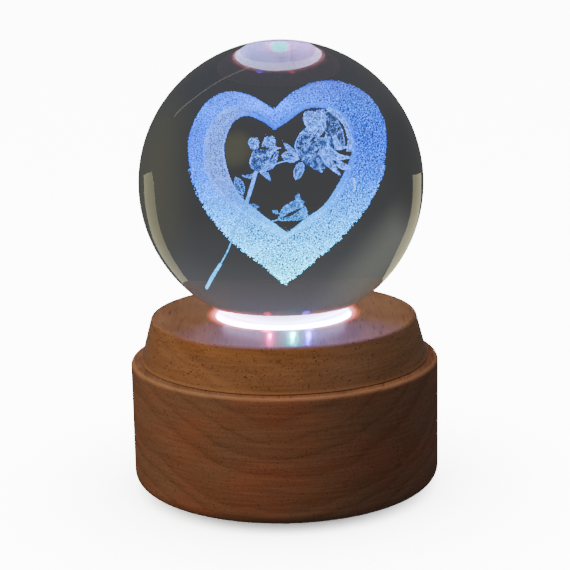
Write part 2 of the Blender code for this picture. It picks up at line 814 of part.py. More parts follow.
def make_turntable(parent):
    """The upper tier: a tapered wooden ring that carries the window and the ball."""
    wood = walnut()
    hole = window_radius + seat_gap
    ledge = window_radius - ledge_width
    edge_centre = (upper_top_radius - upper_edge_round, upper_top - upper_edge_round)
    lean = math.degrees(math.atan2(upper_taper, upper_height))
    profile = [
        (pocket_radius, upper_bottom),
        (upper_foot_radius - upper_foot_chamfer, upper_bottom),
        (upper_foot_radius, upper_bottom + upper_foot_chamfer),
        *arc(edge_centre, upper_edge_round, lean, 90, 2),
        (hole, upper_top),
        (hole, ledge_top),
        (ledge, ledge_top),
        (ledge, ledge_bottom),
        (pocket_radius, ledge_bottom),
    ]
    table = turned("turntable", profile, wood, wood_steps, parent=parent)
    for i, at in enumerate(round_places(gear_screw_circle, screw_count)):
        low, high = ledge_bottom - overrun, ledge_bottom + gear_screw_bite + seat_gap
        drill(table, f"gear_pilot_{i + 1}", pilot(gear_screw_head), low, high, at, parent=parent)
    return table


def make_ring_gear(parent):
    """The internal gear under the upper tier, screwed to its ceiling through a raised rim."""
    look = white_plastic()
    gear = rod("ring_gear", ring_outer, gear_bottom, gear_top, look, 36, parent=parent)
    teeth = tooth_outline(ring_tooth_count, ring_root, ring_pitch - drive_addendum, math.pi / ring_tooth_count)
    low, high = gear_bottom - overrun, gear_top + overrun
    cut(gear, prism("ring_gear_inside", teeth, low, high, look, parent=parent))
    rim_outer = ring_outer - seat_gap
    top = ledge_bottom - seat_gap
    join(gear, ring("gear_rim", rim_inner, rim_outer, gear_top - overrun, top, look, 36, parent=parent))
    seat = gear_bottom + gear_screw_head * head_height_share + seat_gap
    length = ledge_bottom - seat + gear_screw_bite
    for i, at in enumerate(round_places(gear_screw_circle, screw_count)):
        counterbore(gear, f"gear_hole_{i + 1}", at, gear_screw_head, gear_bottom, seat, top, 8, parent)
        screw(f"gear_screw_{i + 1}", (*at, seat), gear_screw_head, length, steel(), True, parent)
    return gear


def make_window(parent):
    """The frosted window let into the upper tier, dished on top to seat the ball."""
    dish = ball_radius + ball_gap
    rise = window_top - ball_centre_height
    rim_angle = math.degrees(math.asin(rise / dish))
    profile = [
        (0, window_bottom),
        (window_radius, window_bottom),
        (window_radius, window_top - window_ease),
        (window_radius - window_ease, window_top),
        *reversed(arc((0, ball_centre_height), dish, -90, rim_angle, 5)),
    ]
    profile[-1] = (0, ball_centre_height - dish)
    return turned("window", profile, frosted_plastic(), wood_steps, parent=parent)


def even_points(points, pieces):
    """Points evenly spaced along a line of points, both ends included."""
    spots = [Vector(point) for point in points]
    reach = [0.0]
    for one, two in zip(spots, spots[1:]):
        reach.append(reach[-1] + (two - one).length)
    made = []
    for i in range(pieces + 1):
        at = reach[-1] * i / pieces
        k = next(k for k in range(1, len(reach)) if at <= reach[k] or k == len(reach) - 1)
        made.append(spots[k - 1].lerp(spots[k], (at - reach[k - 1]) / (reach[k] - reach[k - 1])))
    return made


def grown(outline, distance):
    """An outline that runs anticlockwise, each edge moved outwards by a distance."""
    made = []
    for before, spot, after in zip(outline[-1:] + outline[:-1], outline, outline[1:] + outline[:1]):
        arriving, leaving = (spot - before).normalized(), (after - spot).normalized()
        outwards = Vector((arriving.y, -arriving.x))
        between = (outwards + Vector((leaving.y, -leaving.x))).normalized()
        made.append(spot + between * distance / between.dot(outwards))
    return made


def heart_loop(shares, depth, growth):
    """A heart's outline in the ball at one depth, grown by a distance."""
    sides = ([Vector(share) * ball_radius for share in side] for side in shares)
    left, right = (even_points(side, heart_side_steps) for side in sides)
    return [(spot.x, depth, spot.y) for spot in grown(left[:-1] + right[:0:-1], growth)]


def heart_frame(name, spare, **where):
    """The heart: a flat face round its opening and a wall from there to the smaller back opening.

    Spare is how much larger all round the hollow for it is."""
    front, back = heart_front_share * ball_radius, heart_back_share * ball_radius + spare
    behind_face = front + heart_face_thickness + spare
    front -= spare
    loops = (
        heart_loop(heart_outer_shares, front, spare),
        heart_loop(heart_inner_shares, front, -spare),
        heart_loop(heart_back_shares, back, -spare),
        heart_loop(heart_back_shares, back, heart_wall + spare),
        heart_loop(heart_inner_shares, behind_face, heart_wall + spare),
        heart_loop(heart_outer_shares, behind_face, spare),
    )
    bm = bmesh.new()
    bridged(bm, [[bm.verts.new(spot) for spot in loop] for loop in loops])
    return place(name, closed(bm, name), crystal(), **where)


def petal(name, left, right, depth, bow, spare, **where):
    """A thin bowed plate between two edges that run from its base to its tip."""
    one = even_points([Vector(share) * ball_radius for share in left], petal_steps)
    two = even_points([Vector(share) * ball_radius for share in right], petal_steps)
    half = petal_thickness / 2 + spare
    along = (one[-1] + two[-1] - one[0] - two[0]).normalized()
    across = (two[petal_steps // 2] - one[petal_steps // 2]).normalized()
    sheets = []
    for side in (-half, half):
        rows = []
        for i, (a, b) in enumerate(zip(one, two)):
            lengthwise = along * spare * ((i == petal_steps) - (i == 0))
            a, b = a + lengthwise - across * spare, b + lengthwise + across * spare
            bowed = depth * ball_radius - bow * ball_radius * math.sin(math.pi * i / petal_steps)
            levels = (depth * ball_radius, bowed, depth * ball_radius)
            rows.append([(*a.lerp(b, u / 2), level + side) for u, level in enumerate(levels)])
        sheets.append(rows)
    bm = bmesh.new()
    front, back = ([[bm.verts.new((x, y, z)) for x, z, y in row] for row in rows] for rows in sheets)
    for i in range(petal_steps):
        for u in range(2):
            for rows in (front, back):
                bm.faces.new((rows[i][u], rows[i][u + 1], rows[i + 1][u + 1], rows[i + 1][u]))
        for u in (0, 2):
            bm.faces.new((front[i][u], front[i + 1][u], back[i + 1][u], back[i][u]))
    for i in (0, petal_steps):
        for u in range(2):
            bm.faces.new((front[i][u], front[i][u + 1], back[i][u + 1], back[i][u]))
    return place(name, closed(bm, name), crystal(), **where)


def stem(name, route, radius, spare, **where):
    """A round stem through the points of its route, with flat ends."""
    spots = [Vector(share) * ball_radius for share in route]
    spots[0] += (spots[0] - spots[1]).normalized() * spare
    spots[-1] += (spots[-1] - spots[-2]).normalized() * spare
    bm = bmesh.new()
    loops = []
    for i, spot in enumerate(spots):
        along = spots[min(i + 1, len(spots) - 1)] - spots[max(i - 1, 0)]
        turn = along.to_track_quat("Z", "Y")
        around = circle(radius + spare, stem_sides)
        loops.append([bm.verts.new(spot + turn @ Vector((x, y, 0))) for x, y in around])
    for first, second in zip(loops, loops[1:]):
        for i in range(stem_sides):
            k = (i + 1) % stem_sides
            bm.faces.new((first[i], first[k], second[k], second[i]))
    bm.faces.new(loops[0])
    bm.faces.new(loops[-1])
    return place(name, closed(bm, name), crystal(), **where)


def spray(name, spare, **where):
    """The two roses, their leaves and stems as one piece, the same amount larger for the hollow."""
    radii = (rose_stem_radius, thin_stem_radius, thin_stem_radius)
    whole, *others = (
        stem(f"{name}_stem_{i + 1}", route, radius, spare, **where)
        for i, (route, radius) in enumerate(zip(stem_shares, radii))
    )
    for i, (left, right, depth, bow) in enumerate(petal_shares):
        others.append(petal(f"{name}_petal_{i + 1}", left, right, depth, bow, spare, **where))
    for piece in others:
        join(whole, piece, "MANIFOLD")
    whole.name = name
    return whole


def make_ball(parent):
    """The full glass ball, its origin at its centre, with the engraving in it."""
    profile = arc((0, 0), ball_radius, -90, 90, ball_steps // 2)
    profile[0] = (0, -ball_radius)
    profile[-1] = (0, ball_radius)
    where = {"at": (0, 0, ball_centre_height), "parent": parent}
    ball = turned("crystal_ball", profile, crystal(), ball_steps, **where)

    heart_tip, stem_end = heart_outer_shares[0][-1], stem_shares[0][-1]
    face_middle = heart_front_share * ball_radius + heart_face_thickness / 2
    bores = (
        (heart_tip[0] * ball_radius, face_middle, heart_tip[1] * ball_radius),
        (stem_end[0] * ball_radius, stem_end[1] * ball_radius, stem_end[2] * ball_radius),
    )
    for i, (x, y, top) in enumerate(bores):
        at = (x, y, ball_centre_height)
        span = (-ball_radius - bore_overrun, top + bore_overrun)
        bore = rod(f"bore_{i + 1}", engraving_bore, *span, crystal(), stem_sides, at=at, parent=parent)
        cut(ball, bore, "MANIFOLD")
    heart_frame("engraved_heart", 0, **where)
    cut(ball, heart_frame("heart_hollow", engraving_gap, **where), "MANIFOLD")
    spray("engraved_roses", 0, **where)
    cut(ball, spray("rose_hollow", engraving_gap, **where), "MANIFOLD")


def make_winding(parent):
    """The winding knob in its well, the arbor and the ratchet wheel on it."""
    knob_low = base_bottom + knob_lift
    knob_top = base_bottom + well_depth - running_gap
    outline = tooth_outline(12, knob_radius - knob_flute, knob_radius, 0.0, 0.7, 0.5)
    prism("winding_knob", outline, knob_low, knob_top, brass(), parent=parent)
    arbor_top = barrel_top - barrel_wall - running_gap
    rod("winding_arbor", arbor_radius, knob_top + seat_gap, arbor_top, steel(), 12, parent=parent)
    pitch = math.tau / ratchet_tooth_count
    wheel = []
    for i in range(ratchet_tooth_count):
        for radius, angle in (
            (ratchet_radius, pitch * i),
            (ratchet_radius * ratchet_root_share, pitch * (i + ratchet_back_share)),
        ):
            wheel.append((radius * math.cos(angle), radius * math.sin(angle)))
    bore = circle(arbor_radius + seat_gap, len(wheel))
    holed_prism("ratchet_wheel", wheel, bore, ratchet_bottom, ratchet_top, steel(), parent=parent)


def click_place():
    """The click's pivot, beside the ratchet wheel and towards the back."""
    return barrel_x + click_side, ratchet_radius + click_rise


def make_click(parent):
    """A small steel pawl on a post. Its tip stands just clear of the ratchet's teeth."""
    hub, flat = click_hub, click_hub * click_flat_share
    drop = click_rise - running_gap
    outline = [
        (-flat, -hub * click_heel_share),
        (flat, -hub),
        (hub, 0),
        (flat, hub),
        (-flat, hub),
        (-click_arm, -drop / 2),
        (-click_arm, -drop),
        (-click_arm * click_tip_share, -drop),
    ]
    click = prism("click", outline, ratchet_bottom, ratchet_top, steel(), parent=parent)
    clear = click_post_radius + hole_clearance
    low, high = ratchet_bottom - overrun, ratchet_top + overrun
    drill(click, "click_hole", clear, low, high, (0, 0), parent=parent)
    return click


def make_barrel(parent):
    """The spring barrel: a brass drum with crown teeth round its foot."""
    look = brass()
    bore = arbor_radius + running_gap
    inside = barrel_radius - barrel_wall
    profile = [
        (0, barrel_top - barrel_wall),
        (inside, barrel_top - barrel_wall),
        (inside, crown_bottom),
        (bore, crown_bottom),
        (bore, barrel_bottom),
        (crown_outer, barrel_bottom),
        (crown_outer, crown_bottom),
        (barrel_radius, crown_bottom),
        (barrel_radius, barrel_top),
        (0, barrel_top),
    ]
    drum = turned("spring_barrel", profile, look, 24, parent=parent)
    foot_half = crown_module * crown_foot_share * math.pi / 2
    low = (crown_outer - crown_width, -foot_half, crown_bottom - crown_floor / 2)
    high = (crown_outer - crown_edge, foot_half, crown_top)
    bm = bmesh.new()
    for i in range(crown_tooth_count):
        add_box(bm, low, high, math.tau * (i + 0.5) / crown_tooth_count, crown_tip_share / crown_foot_share)
    join(drum, place("crown_teeth", closed(bm, "crown_teeth"), look, parent=parent))
    return drum


def make_drive_pinion(parent):
    """The pinion that meets the ring gear, with its stem down to the barrel."""
    look = white_plastic()
    root, tip = drive_pitch - drive_dedendum, drive_pitch + drive_addendum
    outline = tooth_outline(drive_tooth_count, root, tip, math.pi)
    high = gear_top - running_gap
    pinion = prism("drive_pinion", outline, gear_bottom, high, look, parent=parent)
    low = barrel_top + seat_gap
    stem = rod("pinion_stem", stem_radius, low, gear_bottom + overrun, look, 12, parent=parent)
    join(pinion, stem)
    return pinion


def make_mainspring(parent):
    """The coiled steel strip in the barrel, wound out from the arbor at a steady rate."""
    inner = arbor_radius + 2 * running_gap
    outer = barrel_radius - barrel_wall - 2 * running_gap
    low = crown_bottom + running_gap
    high = barrel_top - barrel_wall - running_gap
    half = strip_thickness / 2
    count = spring_turn_count * spring_step_count
    sides = []
    for side in (-half, half):
        radii = [inner + (outer - inner) * i / count + side for i in range(count + 1)]
        angles = [math.tau * i / spring_step_count for i in range(count + 1)]
        sides.append([(r * math.cos(a), r * math.sin(a)) for r, a in zip(radii, angles)])
    bm = bmesh.new()
    levels = ((sides[0], low), (sides[1], low), (sides[1], high), (sides[0], high))
    loops = [[bm.verts.new((x, y, height)) for x, y in side] for side, height in levels]
    bridged(bm, loops, around=False)
    for end in (0, -1):
        bm.faces.new([loop[end] for loop in loops])
    return place("mainspring", closed(bm, "mainspring"), dark_steel(), parent=parent)


ALONG_X = (0, math.pi / 2, 0)


def wheel(name, teeth, module, addendum, low, high, look, phase=0.0, parent=None):
    """A toothed wheel of the movement, between two places along its own axis."""
    pitch_radius = teeth * module / 2
    root, tip = pitch_radius - addendum - tooth_bottom_gap, pitch_radius + addendum
    return prism(name, tooth_outline(teeth, root, tip, phase), low, high, look, parent=parent)


def make_pin_cylinder(parent):
    """The pinned cylinder, with the crown's pinion at one end and the first wheel of the train at the other.

    Pins stand in one row for each comb tooth, spread round the cylinder by a fixed step."""
    look = brass()
    end = cylinder_gear_x + wheel_thickness
    cylinder = rod("pin_cylinder", cylinder_radius, cylinder_x, end - overrun, look, 20, parent=parent)
    axle_end = right_bracket_x + bracket_thickness + running_gap
    join(cylinder, rod("cylinder_axle", axle_radius, crown_pinion_x, axle_end, look, 10, parent=parent))
    pinion_end = crown_pinion_x + wheel_thickness
    pinion_size = (crown_pinion_tooth_count, crown_module, pinion_addendum)
    join(cylinder, wheel("crown_pinion", *pinion_size, crown_pinion_x, pinion_end, look, parent=parent))
    wheel_size = (cylinder_tooth_count, fine_module, fine_addendum)
    join(cylinder, wheel("cylinder_wheel", *wheel_size, cylinder_gear_x, end, look, parent=parent))
    pitch = cylinder_length / comb_tooth_count
    half = pin_width / 2
    bm = bmesh.new()
    for row in range(comb_tooth_count):
        along = cylinder_x + pitch * (row + 0.5)
        low = (cylinder_radius - pin_height, -half, along - half)
        high = (cylinder_radius + pin_height, half, along + half)
        for k in range(pin_row_count):
            add_box(bm, low, high, math.radians(pin_step * (row * pin_row_count + k) + pin_start))
    join(cylinder, place("pins", closed(bm, "pins"), look, parent=parent))
    return cylinder


def make_transfer_wheel(parent):
    """The wheel and pinion between the cylinder and the air brake."""
    look = brass()
    end = train_x + wheel_thickness
    size = (transfer_tooth_count, fly_module, fly_addendum)
    big = wheel("transfer_wheel", *size, train_x, end, look, parent=parent)
    axle_end = end + running_gap
    join(big, rod("transfer_axle", axle_radius, cylinder_gear_x, axle_end, look, 10, parent=parent))
    low, high = cylinder_gear_x - running_gap, cylinder_gear_x + wheel_thickness
    size = (transfer_pinion_tooth_count, fine_module, fine_addendum)
    phase = math.pi / transfer_pinion_tooth_count
    join(big, wheel("transfer_pinion", *size, low, high, look, phase, parent))
    return big


def make_fly(parent):
    """The air brake: a small pinion with two flat blades."""
    look = brass()
    blade_start = train_x + wheel_thickness + running_gap
    end = blade_start + fly_length
    phase = fly_angle + math.pi - math.pi / fly_tooth_count
    size = (fly_tooth_count, fly_module, fly_addendum)
    fly = wheel("air_brake", *size, train_x, train_x + wheel_thickness, look, phase, parent)
    join(fly, rod("fly_axle", axle_radius, right_bracket_x - running_gap, end, look, 10, parent=parent))
    half = fly_blade_thickness / 2
    low, high = (-fly_radius, -half, blade_start), (fly_radius, half, end)
    join(fly, block("fly_blade", low, high, look, parent=parent))
    return fly


def make_movement_plate():
    """The cast bed: a plate trimmed to the cavity, with the raised seat that carries the comb."""
    look = steel()
    limit = cavity_radius - plate_edge
    back = cavity_radius * plate_back_share
    plate = block("movement_plate", (-limit, comb_back, plate_bottom), (limit, back, plate_top), look)
    low, through = plate_bottom - overrun, plate_top + overrun
    cut(plate, ring("plate_trim", limit, limit + cavity_radius, low, through, look, 36))
    seat_low = (cylinder_x, comb_back + seat_gap, plate_bottom + plate_thickness / 2)
    seat_high = (cylinder_gear_x, comb_root - seat_gap, comb_low - seat_gap)
    join(plate, block("comb_seat", seat_low, seat_high, look))
    for i, x in enumerate(comb_screw_places):
        bottom = comb_low - comb_screw_length
        at = (x, comb_screw_y)
        drill(plate, f"comb_pilot_{i + 1}", pilot(small_screw_head), bottom, comb_low + overrun, at)
    drill(plate, "plate_arbor_hole", arbor_radius + running_gap, low, through, (barrel_x, 0), 12)
    for i, at in enumerate(boss_places()):
        drill(plate, f"plate_hole_{i + 1}", pilot(small_screw_head), low, through, at)
        under_head = (*at, plate_top + seat_gap)
        screw(f"plate_screw_{i + 1}", under_head, small_screw_head, plate_screw_length, steel())
    start = plate_bottom + plate_thickness / 2
    join(plate, rod("click_post", click_post_radius, start, ratchet_top, look, 8, at=(*click_place(), 0)))
    return plate


def make_comb():
    """The steel comb: one tooth for each row of pins, cut from one plate."""
    high = comb_low + comb_thickness
    pitch = cylinder_length / comb_tooth_count
    slot = pitch * comb_slot_share / 2
    outline = [(cylinder_x, comb_back), (cylinder_gear_x, comb_back)]
    for i in reversed(range(comb_tooth_count)):
        left, right = cylinder_x + pitch * i + slot, cylinder_x + pitch * (i + 1) - slot
        outline += [(right, comb_root), (right, comb_tip), (left, comb_tip), (left, comb_root)]
    comb = prism("comb", outline, comb_low, high, steel())
    for i, x in enumerate(comb_screw_places):
        at = (x, comb_screw_y)
        drill(comb, f"comb_hole_{i + 1}", pilot(small_screw_head), comb_low - overrun, high + overrun, at)
        screw(f"comb_screw_{i + 1}", (*at, high + seat_gap), small_screw_head, comb_screw_length, steel())
    return comb


def make_bracket(name, x, spots, back):
    """An upright bearing plate on the bed, with a hole for each axle that it carries."""
    look = steel()
    low = (x, -bracket_half_width, plate_top + seat_gap)
    high = (x + bracket_thickness, back, cylinder_z + bracket_half_width)
    plate = block(name, low, high, look)
    clear = axle_radius + hole_clearance
    for i, (y, z) in enumerate(spots):
        hole = rod(f"{name}_hole_{i + 1}", clear, -overrun, bracket_thickness + overrun, look, 10)
        hole.rotation_euler = ALONG_X
        hole.location = (x, y, z)
        cut(plate, hole)
    return plate


def make_rear_panel():
    """The panel at the back: an inset plate with the charging socket, the power switch and their board."""
    look = black_plastic()
    panel = block(
        "rear_panel",
        (-panel_half_width, panel_back, panel_level - panel_half_height),
        (panel_half_width, panel_front, panel_level + panel_half_height),
        look,
        ease=seat_gap,
    )
    mouth_x, mouth_z = port_half_width + seat_gap, port_half_height + seat_gap
    low = (port_x - mouth_x, panel_back - overrun, panel_level - mouth_z)
    high = (port_x + mouth_x, panel_front + overrun, panel_level + mouth_z)
    cut(panel, block("port_mouth", low, high, look))
    reach = knob_half_width + switch_travel / 2 + running_gap
    slot_height = knob_half_height + running_gap
    low = (switch_x - reach, panel_back - overrun, panel_level - slot_height)
    high = (switch_x + reach, panel_front + overrun, panel_level + slot_height)
    cut(panel, block("switch_slot", low, high, look))
    port_back = control_front + seat_gap
    low = (port_x - port_half_width, port_back, panel_level - port_half_height)
    high = (port_x + port_half_width, panel_front - seat_gap, panel_level + port_half_height)
    socket = block("usb_socket", low, high, steel(), ease=port_wall)
    inner_x, inner_z = port_half_width - port_wall, port_half_height - port_wall
    low = (port_x - inner_x, port_back + port_floor, panel_level - inner_z)
    high = (port_x + inner_x, panel_front + overrun, panel_level + inner_z)
    cut(socket, block("port_cavity", low, high, steel()))
    low = (port_x - tongue_half_width, port_back + port_floor / 2, panel_level - tongue_half_height)
    high = (port_x + tongue_half_width, panel_front - tongue_inset, panel_level + tongue_half_height)
    join(socket, block("port_tongue", low, high, look))
    low = (switch_x - switch_half_width, port_back, panel_level - switch_half_height)
    high = (switch_x + switch_half_width, port_back + switch_depth, panel_level + switch_half_height)
    block("switch_body", low, high, steel())
    half_x = panel_half_width - panel_margin - seat_gap
    half_z = panel_half_height - panel_margin - seat_gap
    low = (-half_x, control_front - control_thickness, panel_level - half_z)
    high = (half_x, control_front, panel_level + half_z)
    block("control_board", low, high, circuit_green())


def make_switch_knob():
    """The sliding knob, which rests at its off end and pokes through the panel's slot."""
    back = control_front + seat_gap + switch_depth + running_gap
    left = -knob_half_width - switch_travel / 2
    low = (left, back, -knob_half_height)
    high = (left + 2 * knob_half_width, panel_front + knob_proud, knob_half_height)
    at = (switch_x, 0, panel_level)
    return block("switch_knob", low, high, white_plastic(), ease=knob_ease, at=at)


def make_battery():
    """A flat rechargeable cell on a foam pad, stuck up under the web."""
    pad_top = web_bottom - seat_gap
    top = pad_top - pad_thickness - seat_gap
    half_x, half_y = battery_length / 2, battery_width / 2
    low = (battery_x - half_x, battery_y - half_y, top - battery_thickness)
    high = (battery_x + half_x, battery_y + half_y, top)
    block("battery", low, high, finish("battery_foil", "#b8bcc4", 0.35, 0.6), ease=battery_ease)
    half_x -= pad_inset
    half_y -= pad_inset
    low = (battery_x - half_x, battery_y - half_y, pad_top - pad_thickness)
    high = (battery_x + half_x, battery_y + half_y, pad_top)
    block("battery_pad", low, high, grey_rubber())


def smooth_route(points, spacing):
    """Points read from a Catmull-Rom curve through the route, about one spacing apart."""
    route = [Vector(point) for point in points]
    route = [route[0] * 2 - route[1], *route, route[-1] * 2 - route[-2]]
    read = []
    for i in range(1, len(route) - 2):
        before, start, end, after = route[i - 1 : i + 3]
        pieces = max(1, round((end - start).length / spacing))
        for k in range(pieces):
            t = k / pieces
            steady = 2 * start + (end - before) * t
            curved = (2 * before - 5 * start + 4 * end - after) * t * t
            turned_in = (3 * start - before - 3 * end + after) * t**3
            read.append((steady + curved + turned_in) / 2)
    read.append(route[-2])
    return read


def lead(name, points, look):
    """A thin insulated lead along its route, with closed ends."""
    curve = bpy.data.curves.new(name, "CURVE")
    curve.dimensions = "3D"
    spline = curve.splines.new("POLY")
    route = smooth_route(points, lead_spacing)
    spline.points.add(len(route) - 1)
    for point, spot in zip(spline.points, route):
        point.co = (*spot, 1)
    curve.bevel_depth = lead_radius
    curve.bevel_resolution = 2
    curve.use_fill_caps = True
    curve.materials.append(look)
    thing = bpy.data.objects.new(name, curve)
    bpy.context.scene.collection.objects.link(thing)
    return thing


def make_leads():
    """The battery's lead round the right of the cavity, and the light's lead down the column."""
    board_back = control_front - control_thickness - seat_gap
    cell_level = web_bottom - 2 * seat_gap - pad_thickness - battery_thickness / 2
    cell_end = battery_x + battery_length / 2 + seat_gap
    route = [Vector(point) * MM for point in battery_lead_route]
    start = (cell_end, battery_y, cell_level)
    end = (battery_lead_x, board_back, panel_level)
    before_end = (battery_lead_x, board_back - lead_spacing, panel_level)
    red = finish("red_insulation", "#a3201c", 0.5)
    lead("battery_lead", [start, *route, before_end, end], red)
    route = [Vector(point) * MM for point in light_lead_route]
    start = (0, 0, board_bottom - seat_gap)
    end = (light_lead_x, board_back, panel_level)
    before_end = (light_lead_x, board_back - lead_spacing, panel_level)
    white = finish("white_insulation", "#e6e4df", 0.5)
    lead("light_lead", [start, *route, before_end, end], white)


def main():
    clear_scene()
    make_base_shell()
    make_bottom_cover()
    make_feet()
    make_glide_ring()
    make_bearing_column()
    make_light()
    make_movement_plate()
    make_comb()
    make_bracket("left_bracket", left_bracket_x, [(0, cylinder_z)], bracket_half_width)
    train = [(0, cylinder_z), (transfer_y, cylinder_z), (fly_y, fly_z)]
    make_bracket("right_bracket", right_bracket_x, train, fly_y + bracket_half_width)
    make_rear_panel()
    make_switch_knob()
    make_battery()
    make_leads()

    turntable_axis = axis_mark("turntable_axis", (0, 0, 0))
    make_turntable(turntable_axis)
    make_ring_gear(turntable_axis)
    make_window(turntable_axis)
    make_ball(turntable_axis)
    winding_axis = axis_mark("winding_axis", (barrel_x, 0, 0))
    make_winding(winding_axis)
    make_click(axis_mark("click_axis", (*click_place(), 0)))
    barrel_axis = axis_mark("barrel_axis", (barrel_x, 0, 0))
    make_barrel(barrel_axis)
    make_drive_pinion(barrel_axis)
    make_mainspring(barrel_axis)
    make_pin_cylinder(axis_mark("cylinder_axis", (0, 0, cylinder_z), ALONG_X))
    make_transfer_wheel(axis_mark("transfer_axis", (0, transfer_y, cylinder_z), ALONG_X))
    make_fly(axis_mark("fly_axis", (0, fly_y, fly_z), ALONG_X))


main()
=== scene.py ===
"""The look of the crystal ball lamp: an engraved glass ball, lit from below, on a turned wooden stand.

Lengths are metres. A shape is a grid of points worked out with numpy: a profile turned about an
axis, a band between two outlines, or a petal. The engraving is a cloud of small fractures.
"""

import math

import bmesh
import bpy
import numpy as np
from mathutils import Matrix, Vector


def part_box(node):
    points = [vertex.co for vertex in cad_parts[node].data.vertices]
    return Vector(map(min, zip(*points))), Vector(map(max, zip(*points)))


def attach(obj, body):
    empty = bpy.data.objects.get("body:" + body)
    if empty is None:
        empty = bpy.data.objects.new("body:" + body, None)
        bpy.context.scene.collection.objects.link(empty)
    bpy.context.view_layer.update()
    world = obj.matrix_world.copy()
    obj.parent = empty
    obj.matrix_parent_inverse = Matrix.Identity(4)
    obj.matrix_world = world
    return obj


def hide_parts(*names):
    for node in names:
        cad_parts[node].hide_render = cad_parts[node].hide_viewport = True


MM = 0.001
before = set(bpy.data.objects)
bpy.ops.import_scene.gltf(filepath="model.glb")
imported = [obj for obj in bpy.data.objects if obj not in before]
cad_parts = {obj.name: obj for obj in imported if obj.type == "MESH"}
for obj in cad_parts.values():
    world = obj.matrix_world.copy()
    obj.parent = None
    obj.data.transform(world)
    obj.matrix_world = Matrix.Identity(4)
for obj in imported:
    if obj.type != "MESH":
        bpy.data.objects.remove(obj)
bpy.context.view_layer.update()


def linear(colour):
    """An sRGB hex colour as linear light, with an alpha of one."""
    parts = [int(colour[i : i + 2], 16) / 255 for i in (1, 3, 5)]
    return (*[c / 12.92 if c <= 0.04045 else ((c + 0.055) / 1.055) ** 2.4 for c in parts], 1.0)


def add(tree, kind, links=(), stops=(), **settings):
    """Adds a node. A link is (input, what feeds it): a node, a socket, a hex colour or a fixed value.

    The settings are the node's own. The stops are a ramp's, as (place, value): a hex colour, linear
    light with an alpha, or a number."""
    node = tree.nodes.new("ShaderNode" + kind)
    for name, value in settings.items():
        setattr(node, name, value)
    for name, source in links:
        if isinstance(source, bpy.types.Node):
            source = source.outputs[0]
        if isinstance(source, bpy.types.NodeSocket):
            tree.links.new(source, node.inputs[name])
        else:
            node.inputs[name].default_value = linear(source) if isinstance(source, str) else source
    if stops:
        bar = node.color_ramp.elements
        while len(bar) < len(stops):
            bar.new(0.5)
        for element, (place, value) in zip(bar, stops):
            element.position = place
            if isinstance(value, str):
                value = linear(value)
            element.color = value if isinstance(value, tuple) else (value, value, value, 1)
    return node


def new_material(name):
    """A material with no nodes yet, and its tree."""
    made = bpy.data.materials.new(name)
    made.use_nodes = True
    made.node_tree.nodes.clear()
    return made, made.node_tree


def cells(tree, size, shift=(0, 0, 0), detail=2.0):
    """What feeds a noise with cells of the given size in millimetres, along the object's axes."""
    where = add(tree, "TexCoord").outputs["Object"]
    scale = [1 / (s * MM) for s in size]
    counted = add(tree, "Mapping", [("Vector", where), ("Location", shift), ("Scale", scale)])
    return [("Vector", counted), ("Scale", 1.0), ("Detail", detail)]


def between(value, low, high):
    """What feeds a map range that runs from zero at low to one at high."""
    return [("Value", value), ("From Min", low), ("From Max", high)]


def near_spot(tree, x, y, reach_x, reach_y, soft=0.4):
    """One inside an oval round (x, y), in millimetres and seen from above, and zero outside it."""
    where = add(tree, "TexCoord").outputs["Object"]
    moved = add(tree, "VectorMath", [(0, where), (1, (-x * MM, -y * MM, 0))], operation="ADD")
    scale = (1 / (reach_x * MM), 1 / (reach_y * MM), 0)
    scaled = add(tree, "VectorMath", [(0, moved), (1, scale)], operation="MULTIPLY")
    far = add(tree, "VectorMath", [(0, scaled)], operation="LENGTH").outputs["Value"]
    return add(tree, "ValToRGB", [("Fac", far)], stops=[(soft, 1.0), (1.0, 0.0)])


def round_the_axis(tree):
    """The distance from the lamp's axis, and the node that splits the place into x, y and z."""
    where = add(tree, "TexCoord").outputs["Object"]
    flat = add(tree, "VectorMath", [(0, where), (1, (1, 1, 0))], operation="MULTIPLY")
    radius = add(tree, "VectorMath", [(0, flat)], operation="LENGTH").outputs["Value"]
    return radius, add(tree, "SeparateXYZ", [(0, where)])


def painted_edge_highlight(tree, edge_radius, edge_height, reach):
    """One on a round edge, where a highlight is painted, and zero further from it than reach."""
    radius, parts = round_the_axis(tree)
    point = add(tree, "CombineXYZ", [("X", radius), ("Y", parts.outputs["Z"])])
    links = [(0, point), (1, (edge_radius, edge_height, 0))]
    far = add(tree, "VectorMath", links, operation="DISTANCE").outputs["Value"]
    share = add(tree, "Math", [(0, far), (1, 1 / reach)], operation="MULTIPLY")
    return add(tree, "ValToRGB", [("Fac", share)], stops=[(0.3, 1.0), (1.0, 0.0)])


